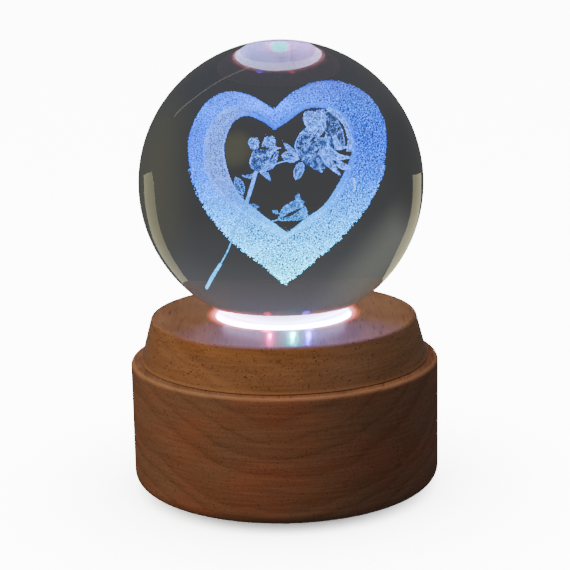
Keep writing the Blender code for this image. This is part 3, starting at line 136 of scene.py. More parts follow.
def oiled_hardwood(name, pith, shift, ring_depth, pore_depth, tones, coat, edge, glow=False):
    """Acacia-like hardwood, turned, sanded and oiled.

    The fibres run from front to back, so the pores are short dark strokes on the top and dots on
    the front, and the growth rings are arcs round a pith above the piece, given as (x, z) in mm.
    The oil darkens the pores and leaves a satin film. A highlight is painted on the round edge as a
    paler colour. With glow, the window's light on the wood round it is painted in as emission."""
    ring_gap, ring_drift, sway_reach = 6.2 * MM, 2.4, 12 * MM
    made, tree = new_material(name)
    where = add(tree, "TexCoord").outputs["Object"]
    warp = add(tree, "TexNoise", cells(tree, (26, 60, 26), shift))
    sway = add(tree, "VectorMath", [(0, warp.outputs["Color"]), (1, (0.5, 0.5, 0.5))], operation="SUBTRACT")
    sway = add(tree, "VectorMath", [(0, sway), (1, (sway_reach, 0.0, sway_reach))], operation="MULTIPLY")
    bent = add(tree, "VectorMath", [(0, where), (1, sway)], operation="ADD")
    links = [(0, bent), (1, (pith[0] * MM, 0, pith[1] * MM))]
    moved = add(tree, "VectorMath", links, operation="SUBTRACT")
    shells = add(tree, "VectorMath", [(0, moved), (1, (1.0, 0.06, 1.0))], operation="MULTIPLY")
    span = add(tree, "VectorMath", [(0, shells)], operation="LENGTH").outputs["Value"]

    # Growth rings, unevenly spaced, each with a soft dark line at its outer edge
    rings = add(tree, "Math", [(0, span), (1, 1 / ring_gap)], operation="MULTIPLY")
    uneven = add(tree, "TexNoise", [("Scale", 0.55), ("Detail", 2.0)], noise_dimensions="1D")
    tree.links.new(rings.outputs[0], uneven.inputs["W"])
    drift = add(tree, "Math", [(0, uneven), (1, ring_drift)], operation="MULTIPLY")
    place = add(tree, "Math", [(0, rings), (1, drift)], operation="ADD")
    saw = add(tree, "Math", [(0, place)], operation="FRACT")
    stops = [(0.0, 0.5), (0.18, 0.0), (0.55, 0.15), (0.8, 0.6), (0.93, 1.0), (1.0, 0.5)]
    late = add(tree, "ValToRGB", [("Fac", saw)], stops=stops)
    late = add(tree, "Math", [(0, late), (1, ring_depth)], operation="MULTIPLY")

    # Fibres 0.35 mm wide, broad bands of tone, and the fine lines that turning and sanding leave
    fibre = add(tree, "TexNoise", cells(tree, (0.35, 9, 0.35), detail=4.0))
    tone = add(tree, "TexNoise", cells(tree, (22, 70, 13), shift))
    sanded = add(tree, "TexNoise", cells(tree, (12, 12, 0.45)))

    # Pores: strokes a few millimetres long, a little coarser than real ones, so that they show
    pore = add(tree, "TexNoise", cells(tree, (0.5, 7.0, 0.5), detail=1.0))
    pores = add(tree, "ValToRGB", [("Fac", pore)], stops=[(0.645, 0.0), (0.71, 1.0)])
    pore_share = add(tree, "Math", [(0, pores), (1, pore_depth)], operation="MULTIPLY")

    base = add(tree, "ValToRGB", [("Fac", tone)], stops=list(zip((0.32, 0.5, 0.68), tones)))
    grain = add(tree, "ValToRGB", [("Fac", fibre)], stops=[(0.3, "#d6c8bb"), (0.7, "#ffffff")])
    lines = add(tree, "ValToRGB", [("Fac", sanded)], stops=[(0.35, "#dccfc4"), (0.65, "#ffffff")])
    shade = base
    for share, tint in ((late, "#7c523a"), (0.75, grain), (0.6, lines), (pore_share, "#63392c")):
        links = [("Fac", share), ("Color1", shade), ("Color2", tint)]
        shade = add(tree, "MixRGB", links, blend_type="MULTIPLY")
    # Painted highlight: a paler colour on the round edge, where it catches the light
    edge_highlight_share = add(tree, "Math", [(0, painted_edge_highlight(tree, *edge)), (1, 0.42)], operation="MULTIPLY")
    with_edge_highlight = add(tree, "MixRGB", [("Fac", edge_highlight_share), ("Color1", shade), ("Color2", "#ad7d52")])

    relief = add(tree, "Math", [(0, fibre), (1, 0.3)], operation="MULTIPLY")
    height = add(tree, "Math", [(0, relief), (1, pores)], operation="SUBTRACT")
    bump = add(tree, "Bump", [("Height", height), ("Strength", 0.3), ("Distance", 0.05 * MM)])
    rough = add(tree, "ValToRGB", [("Fac", fibre)], stops=[(0.25, 0.62), (0.75, 0.54)])
    links = [("Base Color", with_edge_highlight), ("Normal", bump), ("Roughness", rough), ("Specular IOR Level", 0.35)]
    links += [("Coat Weight", coat), ("Coat Roughness", 0.3)]
    # Painted light: the window's light on the wood round it, as emission
    if glow:
        links += [("Emission Color", painted_light_round_hole(tree)), ("Emission Strength", 1.0)]
    shader = add(tree, "BsdfPrincipled", links)
    add(tree, "OutputMaterial", [("Surface", shader)])
    return made


def painted_light_round_hole(tree):
    """Painted light on the wood round the window: a pink rim, the lights' colours and a lavender sheen."""
    rim_width = 4 * MM
    radius, parts = round_the_axis(tree)
    # A painted pink rim of light round the hole, stronger at the sides than in front
    away = add(tree, "MapRange", between(radius, window_radius, window_radius + rim_width))
    stops = [(0.0, "#ffb0cc"), (0.22, "#ff8080"), (0.5, "#8c2a2a"), (0.8, "#000000")]
    rim = add(tree, "ValToRGB", [("Fac", away)], stops=stops)
    side = add(tree, "Math", [(0, parts)], operation="ABSOLUTE")
    links = [*between(side, 5 * MM, 11 * MM), ("To Min", 0.8), ("To Max", 2.4)]
    stronger = add(tree, "MapRange", links)
    total = add(tree, "VectorMath", [(0, rim), ("Scale", stronger)], operation="SCALE")
    # Painted spots of the lights' colours on the wood at the window's rim
    for x, y, reach, colour in painted_hole_spots:
        mask = near_spot(tree, x, y, reach, reach)
        total = add(tree, "VectorMath", [(0, mask), (1, colour), (2, total)], operation="MULTIPLY_ADD")
    # A painted lavender sheen on the top face in front of the window
    links = between(parts.outputs["Z"], tier_high.z - 0.8 * MM, tier_high.z - 0.2 * MM)
    on_top = add(tree, "MapRange", links)
    in_front = near_spot(tree, *painted_sheen_spot, soft=0.05)
    painted_sheen = add(tree, "Math", [(0, in_front), (1, on_top)], operation="MULTIPLY")
    links = [(0, painted_sheen), (1, painted_sheen_light), (2, total)]
    return add(tree, "VectorMath", links, operation="MULTIPLY_ADD")


def crystal_glass():
    """K9 optical crystal, ground and polished: no colour, a clean surface, an index of 1.517."""
    made, tree = new_material("k9_crystal")
    shader = add(tree, "BsdfGlass", [("Color", "#fbfdff"), ("IOR", 1.517), ("Roughness", 0.0)])
    add(tree, "OutputMaterial", [("Surface", shader)])
    return made


def lit_acrylic(spots, radius):
    """Frosted acrylic, sand-blasted, lit from behind by four coloured lights.

    The ground glows pink-violet on one side and blue-violet on the other, brushed with fine lines,
    and nearly white round its front edge. Each light is a soft oval spot on it."""
    ground_power, edge_power = 14.0, 30.0
    made, tree = new_material("frosted_acrylic_lit")
    where = add(tree, "TexCoord").outputs["Object"]
    x = add(tree, "SeparateXYZ", [(0, where)])
    side = add(tree, "MapRange", between(x, -radius, radius))
    stops = [(0.1, "#d892f4"), (0.5, "#b09cf0"), (0.9, "#a4a3ff")]
    ground = add(tree, "ValToRGB", [("Fac", side)], stops=stops)
    ground = add(tree, "VectorMath", [(0, ground), ("Scale", ground_power)], operation="SCALE")
    brushed = add(tree, "TexNoise", cells(tree, (0.9, 9, 4)))
    brushed = add(tree, "ValToRGB", [("Fac", brushed)], stops=[(0.35, 0.72), (0.65, 1.0)])
    ground = add(tree, "VectorMath", [(0, ground), (1, brushed)], operation="MULTIPLY")
    white = add(tree, "ValToRGB", [("Fac", side)], stops=[(0.1, "#d9bfee"), (0.9, "#c6c6ff")])
    white = add(tree, "VectorMath", [(0, white), ("Scale", edge_power)], operation="SCALE")
    inner = near_spot(tree, 0, 6, 20, 20, soft=0.92)
    total = add(tree, "MixRGB", [("Fac", inner), ("Color1", white), ("Color2", ground)])
    for x, y, reach_x, reach_y, colour in spots:
        mask = near_spot(tree, x, y, reach_x, reach_y)
        total = add(tree, "MixRGB", [("Fac", mask), ("Color1", total), ("Color2", (*colour, 1))])
    glow = add(tree, "Emission", [("Color", total), ("Strength", 1.0)])
    skin = add(tree, "BsdfPrincipled", [("Base Color", "#f0f0fb"), ("Roughness", 0.4)])
    both = add(tree, "AddShader", [(0, glow), (1, skin)])
    add(tree, "OutputMaterial", [("Surface", both)])
    return made


def lit_fractures(name, glow, strength, grain, contrast, left=None):
    """Laser-made fractures in the glass, white flecks with the lights' colour painted on as emission.

    Their painted glow is cyan low down, near the lights, and a deeper blue towards the top. glow lists
    (height in mm from the ball's centre, colour, power). A noise with cells of the given grain in mm
    makes flecks bright or dim. left is a colour and power of painted light for the ball's upper left."""
    made, tree = new_material(name)
    where = add(tree, "TexCoord").outputs["Object"]
    parts = add(tree, "SeparateXYZ", [(0, where)])
    heights, colours, powers = zip(*glow)
    low, high, middle = heights[0], heights[-1], ball_centre[2]
    links = between(parts.outputs["Z"], middle + low * MM, middle + high * MM)
    share = add(tree, "MapRange", links)
    places = [(at - low) / (high - low) for at in heights]
    colour = add(tree, "ValToRGB", [("Fac", share)], stops=list(zip(places, colours)))
    top = max(powers)
    power = add(tree, "ValToRGB", [("Fac", share)], stops=[(at, p / top) for at, p in zip(places, powers)])
    power = add(tree, "Math", [(0, power), (1, top)], operation="MULTIPLY")
    # Painted light: a different colour and power on the upper left
    if left:
        painted_left_share = add(tree, "MapRange", between(parts.outputs["X"], -4 * MM, -11 * MM))
        upper = add(tree, "MapRange", between(parts.outputs["Z"], middle - 5 * MM, middle))
        fac = add(tree, "Math", [(0, painted_left_share), (1, upper)], operation="MULTIPLY")
        colour = add(tree, "MixRGB", [("Fac", fac), ("Color1", colour), ("Color2", left[0])])
        power = add(tree, "MixRGB", [("Fac", fac), ("Color1", power), ("Color2", (left[1],) * 3 + (1,))])
    flecks = add(tree, "TexNoise", cells(tree, (grain,) * 3))
    flecks = add(tree, "ValToRGB", [("Fac", flecks)], stops=[(0.4, 1 - contrast), (0.6, 1.0)])
    patches = add(tree, "TexNoise", cells(tree, (3.5,) * 3))
    patches = add(tree, "ValToRGB", [("Fac", patches)], stops=[(0.35, 0.8), (0.65, 1.0)])
    varied = add(tree, "Math", [(0, flecks), (1, patches)], operation="MULTIPLY")
    power = add(tree, "Math", [(0, power), (1, varied)], operation="MULTIPLY")
    power = add(tree, "Math", [(0, power), (1, strength)], operation="MULTIPLY")
    shine = add(tree, "Emission", [("Color", colour), ("Strength", power)])
    add(tree, "OutputMaterial", [("Surface", shine)])
    made.cycles.emission_sampling = "NONE"
    return made


def textured(name, colour, roughness, swing, cell, detail, depth, strength, nature):
    """A grained surface: one noise makes its relief and swings its roughness either way.

    nature is one more link of its shader, which makes it a plastic or a metal."""
    made, tree = new_material(name)
    grain = add(tree, "TexNoise", cells(tree, cell, detail=detail))
    bump = add(tree, "Bump", [("Height", grain), ("Strength", strength), ("Distance", depth * MM)])
    stops = [(0.3, roughness - swing), (0.7, roughness + swing)]
    rough = add(tree, "ValToRGB", [("Fac", grain)], stops=stops)
    links = [("Normal", bump), ("Roughness", rough), ("Base Color", colour), nature]
    shader = add(tree, "BsdfPrincipled", links)
    add(tree, "OutputMaterial", [("Surface", shader)])
    return made


def moulded(name, colour, roughness, grit=0.25, depth=0.02):
    """Injection-moulded plastic with the fine spark-eroded texture of its mould."""
    return textured(name, colour, roughness, 0.06, (grit,) * 3, 2.0, depth, 0.4, ("IOR", 1.49))


def machined(name, colour, roughness, cell=(6, 0.3, 0.3)):
    """Turned or stamped metal: fine tool marks that stretch the highlights along them."""
    return textured(name, colour, roughness, 0.08, cell, 3.0, 0.01, 0.25, ("Metallic", 1.0))


def solid_from(name, points, faces, look):
    """An object at the origin with its points and faces in place, and flat faces."""
    mesh = bpy.data.meshes.new(name)
    mesh.from_pydata(np.asarray(points).tolist(), [], np.asarray(faces).tolist())
    mesh.materials.append(look)
    thing = bpy.data.objects.new(name, mesh)
    bpy.context.scene.collection.objects.link(thing)
    return thing


def grid_faces(rows, columns, closed=False):
    """The quads of a grid of points, which may close on itself both ways."""
    r, c = np.indices((rows, columns) if closed else (rows - 1, columns - 1))
    r2, c2 = (r + 1) % rows, (c + 1) % columns
    corners = [r * columns + c, r2 * columns + c, r2 * columns + c2, r * columns + c2]
    return np.stack(corners, -1).reshape(-1, 4)


def arc(centre, radius, start, end, count):
    """Points of an arc of the profile, angles in degrees, both ends included."""
    angles = np.radians(np.linspace(start, end, count))
    return np.stack([centre[0] + radius * np.cos(angles), centre[1] + radius * np.sin(angles)], -1)


def path(*runs):
    """One profile out of points and arcs."""
    return np.concatenate([np.atleast_2d(np.asarray(run, float)) for run in runs])


def turned(name, profile, look, count=192):
    """A closed profile of (radius, height) turned once round: x = r cos a, y = r sin a.

    The profile runs up the outer side, so the faces point outwards."""
    angles = np.linspace(0, math.tau, count, endpoint=False)
    radius, height = profile[:, 0][:, None], profile[:, 1][:, None]
    points = np.stack([radius * np.cos(angles), radius * np.sin(angles), height + 0 * angles], -1)
    faces = grid_faces(len(profile), count, closed=True)[:, ::-1]
    return tidied(solid_from(name, points.reshape(-1, 3), faces, look))


def softly_shaded(thing):
    """Smooth shading, broken at edges sharper than 35 degrees."""
    thing.data.shade_smooth()
    thing.data.set_sharp_from_angle(angle=math.radians(35))


def tidied(thing):
    """Merges what meets on the axis, turns the faces outwards and marks the sharp edges."""
    bm = bmesh.new()
    bm.from_mesh(thing.data)
    bmesh.ops.remove_doubles(bm, verts=bm.verts, dist=0.0005 * MM)
    bmesh.ops.dissolve_degenerate(bm, edges=bm.edges, dist=0.0001 * MM)
    bmesh.ops.recalc_face_normals(bm, faces=bm.faces)
    bm.to_mesh(thing.data)
    bm.free()
    softly_shaded(thing)
    return thing


def ball_of(name, radius, middle, look, rows=128, columns=256):
    """A sphere with its middle at a height on the axis: latitude by longitude, closed at both poles."""
    latitude = np.linspace(-math.pi / 2, math.pi / 2, rows + 1)
    profile = np.stack([radius * np.cos(latitude), radius * np.sin(latitude) + middle], -1)
    profile[0, 0] = profile[-1, 0] = 0
    return turned(name, profile, look, count=columns)


# Sizes from the fixed frame
shell_low, shell_high = [Vector(corner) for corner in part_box("base_shell")]
tier_low, tier_high = [Vector(corner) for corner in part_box("turntable")]
ball_low, ball_high = [Vector(corner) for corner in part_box("crystal_ball")]
window_low, window_high = [Vector(corner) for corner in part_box("window")]
base_radius = shell_high.x
foot_radius = tier_high.x
top_radius = foot_radius - 3 * MM
ball_radius = (ball_high.z - ball_low.z) / 2
ball_centre = np.array([0, 0, (ball_high.z + ball_low.z) / 2])
window_radius = window_high.x

# Painted light on the wood, in mm and linear light: the painted sheen in front as x, y and its
# reach along x and y, and painted spots at the window's rim as x, y and reach
painted_sheen_spot, painted_sheen_light = (2, -24, 35, 22), (0.01, 0.03, 0.27)
painted_hole_spots = (
    (-5.0, -20.1, 1.5, (7.0, 0.02, 0.4)),
    (6.9, -19.5, 1.5, (1.5, 0.1, 14.0)),
)
# The lights' images on the window: x, y, reach along x and y in mm, and linear light
light_spots = (
    (-0.4, -8.3, 5.4, 1.5, (14.0, 3.0, 12.0)),
    (-0.4, -8.2, 3.3, 1.4, (0.3, 26.0, 28.0)),
)
# Where the painted edge highlights run: radius, height and reach
lower_highlight_edge = (base_radius - 0.6 * MM, shell_high.z - 0.4 * MM, 0.75 * MM)
upper_highlight_edge = (foot_radius, tier_low.z, 0.6 * MM)
lower_wood = oiled_hardwood(
    "oiled_hardwood_lower", pith=(-2.0, 70.0), shift=(0.0, 0.0, 0.0), ring_depth=0.25, pore_depth=0.45,
    tones=("#9e654a", "#94684d", "#8d6a50"), coat=0.1, edge=lower_highlight_edge,
)
upper_wood = oiled_hardwood(
    "oiled_hardwood_upper", pith=(12.0, 118.0), shift=(3.0, 1.0, 2.0), ring_depth=0.2, pore_depth=0.85,
    tones=("#a4703f", "#9f7048", "#a5764f"), coat=1.0, edge=upper_highlight_edge, glow=True,
)


def cut_away(thing, low, high):
    """Takes a box out of a piece with an exact Boolean, and applies it."""
    ends = np.array([low, high])
    picks = [(i, j, k) for i in (0, 1) for j in (0, 1) for k in (0, 1)]
    corners = np.array([[ends[i, 0], ends[j, 1], ends[k, 2]] for i, j, k in picks])
    faces = [(0, 1, 3, 2), (4, 6, 7, 5), (0, 4, 5, 1), (2, 3, 7, 6), (0, 2, 6, 4), (1, 5, 7, 3)]
    tool = solid_from("tool", corners, faces, thing.data.materials[0])
    tidied(tool)
    change = thing.modifiers.new("cut", "BOOLEAN")
    change.operation = "DIFFERENCE"
    change.object = tool
    change.solver = "EXACT"
    bpy.context.view_layer.update()
    seen = thing.evaluated_get(bpy.context.evaluated_depsgraph_get())
    mesh = bpy.data.meshes.new_from_object(seen)
    thing.modifiers.clear()
    thing.data = mesh
    bpy.data.objects.remove(tool, do_unlink=True)
    softly_shaded(thing)


def make_lower_tier():
    """The lower tier: straight sides, a 3.6 mm round below and a 1.3 mm round at the shoulder."""
    low, top = shell_low.z, shell_high.z
    bottom_round, shoulder = 3.6 * MM, 1.3 * MM
    ledge, cavity, bore = 38.2 * MM, 32.5 * MM, 11 * MM
    web, cover = 5.8 * MM, 2.6 * MM
    groove_in, groove_out, groove = 35.75 * MM, 38.75 * MM, 0.9 * MM
    profile = path(
        (ledge, low),
        arc((base_radius - bottom_round, low + bottom_round), bottom_round, -90, 0, 12),
        arc((base_radius - shoulder, top - shoulder), shoulder, 0, 90, 8),
        [(groove_out, top), (groove_out, top - groove), (groove_in, top - groove), (groove_in, top)],
        [(bore, top), (bore, top - web), (cavity, top - web), (cavity, low + cover), (ledge, low + cover)],
    )
    shell = turned("lower_tier", profile, lower_wood)
    # The rear panel's recess, and the opening behind it
    panel_low, panel_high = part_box("rear_panel")
    gap, inset, inner_end = 0.3 * MM, 2.0 * MM, 20 * MM
    for grow, start in ((gap, panel_low[1] - gap), (-inset, inner_end)):
        low_corner = (panel_low[0] - grow, start, panel_low[2] - grow)
        high_corner = (panel_high[0] + grow, base_radius + MM, panel_high[2] + grow)
        cut_away(shell, low_corner, high_corner)
    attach(shell, "base")
    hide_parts("base_shell")


def make_upper_tier():
    """The upper tier: a cone from 41 mm down to 38 mm radius, with eased edges and a stepped bore.

    Its foot comes 0.4 mm nearer to the lower tier than the solid's, so the seam is fine."""
    low, top = tier_low.z - 0.4 * MM, tier_high.z
    edge, chamfer = 1.0 * MM, 0.15 * MM
    hole, ledge = window_radius + 0.3 * MM, window_radius - 1.9 * MM
    ledge_top = window_low.z - 0.3 * MM
    ledge_low = ledge_top - 1.2 * MM
    pocket = 34.15 * MM
    profile = path(
        [(pocket, low), (foot_radius - chamfer, low), (foot_radius, low + chamfer)],
        arc((top_radius - edge, top - edge), edge, 14, 90, 8),
        [(hole + 0.2 * MM, top), (hole, top - 0.2 * MM), (hole, ledge_top), (ledge, ledge_top)],
        [(ledge, ledge_low), (pocket, ledge_low)],
    )
    tier = turned("upper_tier", profile, upper_wood)
    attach(tier, "upper_tier")
    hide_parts("turntable")
    return tier


def make_window():
    """The frosted window: a disc with eased rims, dished on top to the ball's radius."""
    dish = ball_radius + 0.15 * MM
    rise = window_high.z - ball_centre[2]
    rim = math.degrees(math.asin(rise / dish))
    bowl = arc((0, ball_centre[2]), dish, rim, -90, 24)
    bowl[-1, 0] = 0
    ease = 0.3 * MM
    profile = path(
        [(0, window_low.z), (window_radius - ease, window_low.z), (window_radius, window_low.z + ease)],
        [(window_radius, window_high.z - ease), (window_radius - ease, window_high.z)],
        bowl,
    )
    window = turned("lit_window", profile, lit_acrylic(light_spots, window_radius))
    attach(window, "upper_tier")
    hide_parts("window")


def make_ball():
    """The glass ball. It casts no shadow, because the light goes through it."""
    ball = ball_of("glass_ball", ball_radius, ball_centre[2], crystal_glass())
    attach(ball, "ball")
    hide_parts("crystal_ball")
    ball.visible_shadow = False


random = np.random.default_rng(7)


def smooth_line(points, count, closed=False):
    """A Catmull-Rom curve through the points, read at even steps of its length."""
    p = np.asarray(points, float)
    if closed:
        p = np.concatenate([p[-1:], p, p[:2]])
    else:
        p = np.concatenate([2 * p[:1] - p[1:2], p, 2 * p[-1:] - p[-2:-1]])
    t = np.linspace(0, 1, 40, endpoint=False)[None, :, None]
    a, b, c, d = (p[i : len(p) - 3 + i][:, None] for i in range(4))
    square, cube = 2 * a - 5 * b + 4 * c - d, 3 * b - a - 3 * c + d
    curve = 0.5 * (2 * b + (c - a) * t + square * t**2 + cube * t**3)
    curve = np.concatenate([curve.reshape(-1, p.shape[1]), p[-2:-1]])
    length = np.concatenate([[0], np.cumsum(np.linalg.norm(np.diff(curve, axis=0), axis=1))])
    even = np.linspace(0, length[-1], count)
    return np.stack([np.interp(even, length, curve[:, k]) for k in range(p.shape[1])], -1)


def heart(left, right, count=220):
    """A heart's outline: down its left side from the notch to the tip, then up its right side."""
    down = smooth_line(left, count)
    up = smooth_line(right, count)[::-1]
    return np.concatenate([down[:-1], up[:-1]])


# The heart's three edges, as (x, z) in millimetres from the ball's centre, notch to tip
front_outer = heart(
    [(-1.2, 16.0), (-5.6, 19.1), (-9.9, 20.7), (-13.7, 20.1), (-16.6, 17.4), (-18.8, 12.2), (-19.0, 7.6),
     (-17.6, 1.6), (-14.6, -4.3), (-9.6, -10.4), (-3.6, -15.3), (0.4, -19.2)],
    [(-1.2, 16.0), (2.2, 19.3), (6.6, 22.0), (11.2, 23.2), (16.2, 22.5), (20.2, 20.0), (22.5, 15.4),
     (22.8, 10.7), (20.9, 3.1), (17.6, -3.0), (11.6, -9.9), (5.6, -14.9), (0.4, -19.2)],
)
front_inner = heart(
    [(-0.6, 12.6), (-3.2, 15.0), (-6.8, 16.7), (-10.4, 16.4), (-13.5, 13.6), (-15.0, 8.4), (-14.3, 3.0),
     (-11.6, -1.2), (-7.0, -5.3), (0.6, -10.1)],
    [(-0.6, 12.6), (2.3, 15.2), (6.4, 17.2), (10.6, 16.7), (13.6, 13.8), (15.0, 8.6), (14.0, 3.0),
     (10.6, -2.8), (6.1, -6.6), (0.6, -10.1)],
)
back_inner = heart(
    [(-1.0, 9.2), (-3.4, 11.0), (-6.3, 12.0), (-8.8, 10.4), (-10.2, 6.4), (-9.6, 1.8), (-7.4, -2.8),
     (-3.6, -6.2), (1.0, -9.7)],
    [(-1.0, 9.2), (1.6, 10.9), (4.6, 13.0), (8.4, 13.2), (11.6, 11.4), (13.3, 6.6), (11.8, 1.6),
     (8.0, -4.4), (4.0, -7.4), (1.0, -9.7)],
)
front, back = -5.0, 4.0


def at_depth(outline, depth):
    """An outline in the plane at a depth behind the ball's centre, as x, y, z."""
    return np.stack([outline[:, 0], np.broadcast_to(depth, len(outline)), outline[:, 1]], -1)


def rows_between(inner, outer, rows, spacing, jitter, first=0.0, last=1.0):
    """Flecks in rows from one loop to the other, as the engraver's passes leave them.

    Row t is the loop inner + t (outer - inner). Flecks follow it at even steps, each out of place
    by a normal spread that grows from jitter[0] at the left of the ball to jitter[1] at the right."""
    made = []
    for t in np.linspace(first, last, rows):
        loop = inner * (1 - t) + outer * t
        closed = np.concatenate([loop, loop[:1]])
        length = np.concatenate([[0], np.cumsum(np.linalg.norm(np.diff(closed, axis=0), axis=1))])
        even = (np.arange(int(length[-1] / spacing)) + random.random()) * spacing
        made.append(np.stack([np.interp(even, length, closed[:, k]) for k in range(3)], -1))
    points = np.concatenate(made)
    spread = np.interp(points[:, 0], (-14, 4), jitter)
    return points + random.normal(0, 1, points.shape) * spread[:, None]


def fringe(loop, depth, reach, count):
    """Stray flecks just outside a loop's lower sides, thinner the further they are from it."""
    centre = loop.mean(axis=0)
    low = np.flatnonzero(loop[:, 1] < 4)
    index = random.choice(low, count)
    away = loop[index] - centre
    away /= np.linalg.norm(away, axis=1)[:, None]
    points = loop[index] + away * (reach * random.random(count) ** 2)[:, None]
    return np.stack([points[:, 0], np.full(count, depth) + random.normal(0, 0.2, count), points[:, 1]], -1)


unit_fleck = np.array([[1, 0, 0], [-1, 0, 0], [0, 1, 0], [0, -1, 0], [0, 0, 1], [0, 0, -1]], float)
fleck_faces = np.array(
    [[0, 2, 4], [2, 1, 4], [1, 3, 4], [3, 0, 4], [2, 0, 5], [1, 2, 5], [3, 1, 5], [0, 3, 5]]
)


def fleck_cloud(name, points, size, look):
    """One mesh of eight-sided flecks, centred on points given in mm from the ball's centre."""
    points = np.asarray(points)
    sizes = size * random.uniform(0.6, 1.3, len(points))
    corners = points[:, None, :] + unit_fleck[None] * sizes[:, None, None]
    faces = fleck_faces[None] + 6 * np.arange(len(points))[:, None, None]
    placed = corners.reshape(-1, 3) * MM + ball_centre
    cloud = solid_from(name, placed, faces.reshape(-1, 3), look)
    cloud.visible_glossy = False
    cloud.visible_shadow = False
    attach(cloud, "ball")


def blade(left, right, density, depth, bulge=0.7, rim=0.14, veins=0):
    """Flecks on a petal or leaf between two edges that run from its base to its tip, (x, z) in mm.

    A fleck lies at (1 - u) left(v) + u right(v). The surface bows towards the front as
    sin(pi u) sin(pi v). A share of the flecks, rim, lies along the two edges and the tip."""
    a, b = smooth_line(left, 60), smooth_line(right, 60)
    width = np.linalg.norm(a - b, axis=1)
    length = np.linalg.norm(np.diff((a + b) / 2, axis=0), axis=1).sum()
    count = int(density * width.mean() * length)
    v = random.choice(60, count, p=(width + 0.15) / (width + 0.15).sum()) / 59
    u = random.random(count)
    if veins:
        in_vein = random.random(count) < 0.5
        u = np.where(in_vein, (np.round(u * veins) + random.normal(0, 0.05, count)) / veins, u)
    edge = random.random(count) < rim
    u = np.where(edge, np.round(u) + random.normal(0, 0.03, count), u).clip(0, 1)
    place = v * 59
    index = place.astype(int).clip(0, 58)
    share = (place - index)[:, None]
    one = a[index] * (1 - share) + a[index + 1] * share
    two = b[index] * (1 - share) + b[index + 1] * share
    flat = one * (1 - u[:, None]) + two * u[:, None]
    deep = depth - bulge * np.sin(np.pi * u) * np.sin(np.pi * (0.1 + 0.8 * v))
    points = np.stack([flat[:, 0], deep, flat[:, 1]], -1)
    return points + random.normal(0, 0.045, points.shape)


def leaf(start, end, width, density, depth, bend):
    """A pointed leaf: half its width goes as sin(pi v) to the power 0.6, and its rib may bend."""
    start, end = np.asarray(start, float), np.asarray(end, float)
    v = np.linspace(0, 1, 7)[:, None]
    along = end - start
    across = np.array([-along[1], along[0]]) / np.linalg.norm(along)
    rib = start + along * v + across * bend * np.sin(np.pi * v)
    half = across * width / 2 * np.sin(np.pi * v) ** 0.6
    return blade(rib - half, rib + half, density, depth, 0.4, rim=0.15, veins=2)


def stem(route, radii, spacing):
    """Flecks on a round stem along a smooth route, its radius read between the given ones."""
    line = smooth_line(route, 400)
    radius = np.interp(np.linspace(0, 1, 400), np.linspace(0, 1, len(radii)), radii)
    length = np.linalg.norm(np.diff(line, axis=0), axis=1).sum()
    count = int(length * math.tau * np.mean(radii) / spacing**2)
    place = random.random(count) * 399
    index = place.astype(int).clip(0, 398)
    centre = line[index] + (line[index + 1] - line[index]) * (place - index)[:, None]
    spread = random.normal(0, 1, (count, 3))
    spread /= np.linalg.norm(spread, axis=1)[:, None]
    return centre + spread * radius[index][:, None]


# Petals, as (left edge, right edge, flecks per square mm), base to tip
large_rose = (
    ([(4.2, 5.0), (2.9, 7.3), (3.5, 9.5), (5.3, 11.5)],
     [(4.7, 5.3), (5.2, 7.8), (6.8, 10.0), (8.3, 12.2)], 62),
    ([(5.8, 10.6), (4.7, 12.9), (5.0, 14.7)], [(6.8, 11.0), (8.1, 12.5), (8.5, 15.1)], 125),
    ([(6.8, 9.5), (7.9, 11.2), (8.3, 13.5), (8.3, 15.1)],
     [(7.4, 9.2), (8.9, 11.2), (9.2, 13.5), (9.0, 15.3)], 110),
    ([(13.0, 6.6), (13.3, 9.4), (12.3, 12.5), (9.4, 15.2)],
     [(14.2, 6.6), (14.6, 10.3), (13.1, 13.8), (9.9, 15.6)], 125),
    ([(9.4, 6.6), (8.9, 10.0), (9.0, 13.5), (9.4, 14.9)],
     [(12.6, 7.2), (12.5, 10.0), (11.4, 12.9), (9.8, 15.0)], 38),
    ([(10.2, 9.4), (11.1, 6.9), (14.0, 7.6)], [(10.8, 9.9), (12.0, 7.7), (14.0, 7.7)], 150),
    ([(8.6, 7.2), (10.1, 4.9), (13.6, 5.1)], [(9.7, 7.5), (11.3, 6.0), (13.6, 5.4)], 150),
    ([(10.7, 3.8), (12.0, 2.9), (13.6, 3.1)], [(11.0, 4.9), (12.3, 4.1), (13.6, 3.4)], 160),
    ([(7.3, 6.5), (8.6, 4.1), (11.3, 1.7)], [(8.4, 6.9), (9.9, 4.9), (11.5, 1.8)], 190),
    ([(4.1, 4.9), (5.7, 3.6), (7.9, 2.4)], [(4.6, 6.7), (7.2, 6.1), (8.9, 3.6)], 88),
    ([(4.4, 5.3), (5.5, 7.8), (7.4, 9.5)], [(5.0, 5.2), (7.4, 7.2), (8.9, 9.2)], 60),
    ([(7.4, 6.1), (8.1, 8.3), (9.0, 9.7)], [(8.3, 5.8), (9.3, 7.7), (9.9, 9.4)], 95),
)
small_rose = (
    ([(-5.5, 7.0), (-6.1, 8.4), (-5.5, 9.2)], [(-4.3, 7.0), (-4.1, 8.2), (-4.4, 9.2)], 135),
    ([(-3.5, 7.4), (-3.1, 8.7), (-2.4, 9.4)], [(-1.1, 7.3), (-0.9, 8.5), (-1.4, 9.4)], 135),
    ([(-2.9, 5.8), (-1.6, 7.4), (0.0, 7.2)], [(-2.0, 5.4), (-0.7, 6.7), (0.1, 7.1)], 120),
    ([(-4.6, 2.5), (-5.8, 3.9), (-5.5, 5.6), (-4.9, 7.0)],
     [(-4.1, 2.5), (-2.7, 3.8), (-1.9, 5.3), (-1.6, 6.6)], 74),
    ([(-4.0, 2.5), (-1.8, 4.7), (-0.7, 6.5)], [(-3.6, 2.4), (-1.3, 3.4), (-0.3, 6.3)], 110),
)
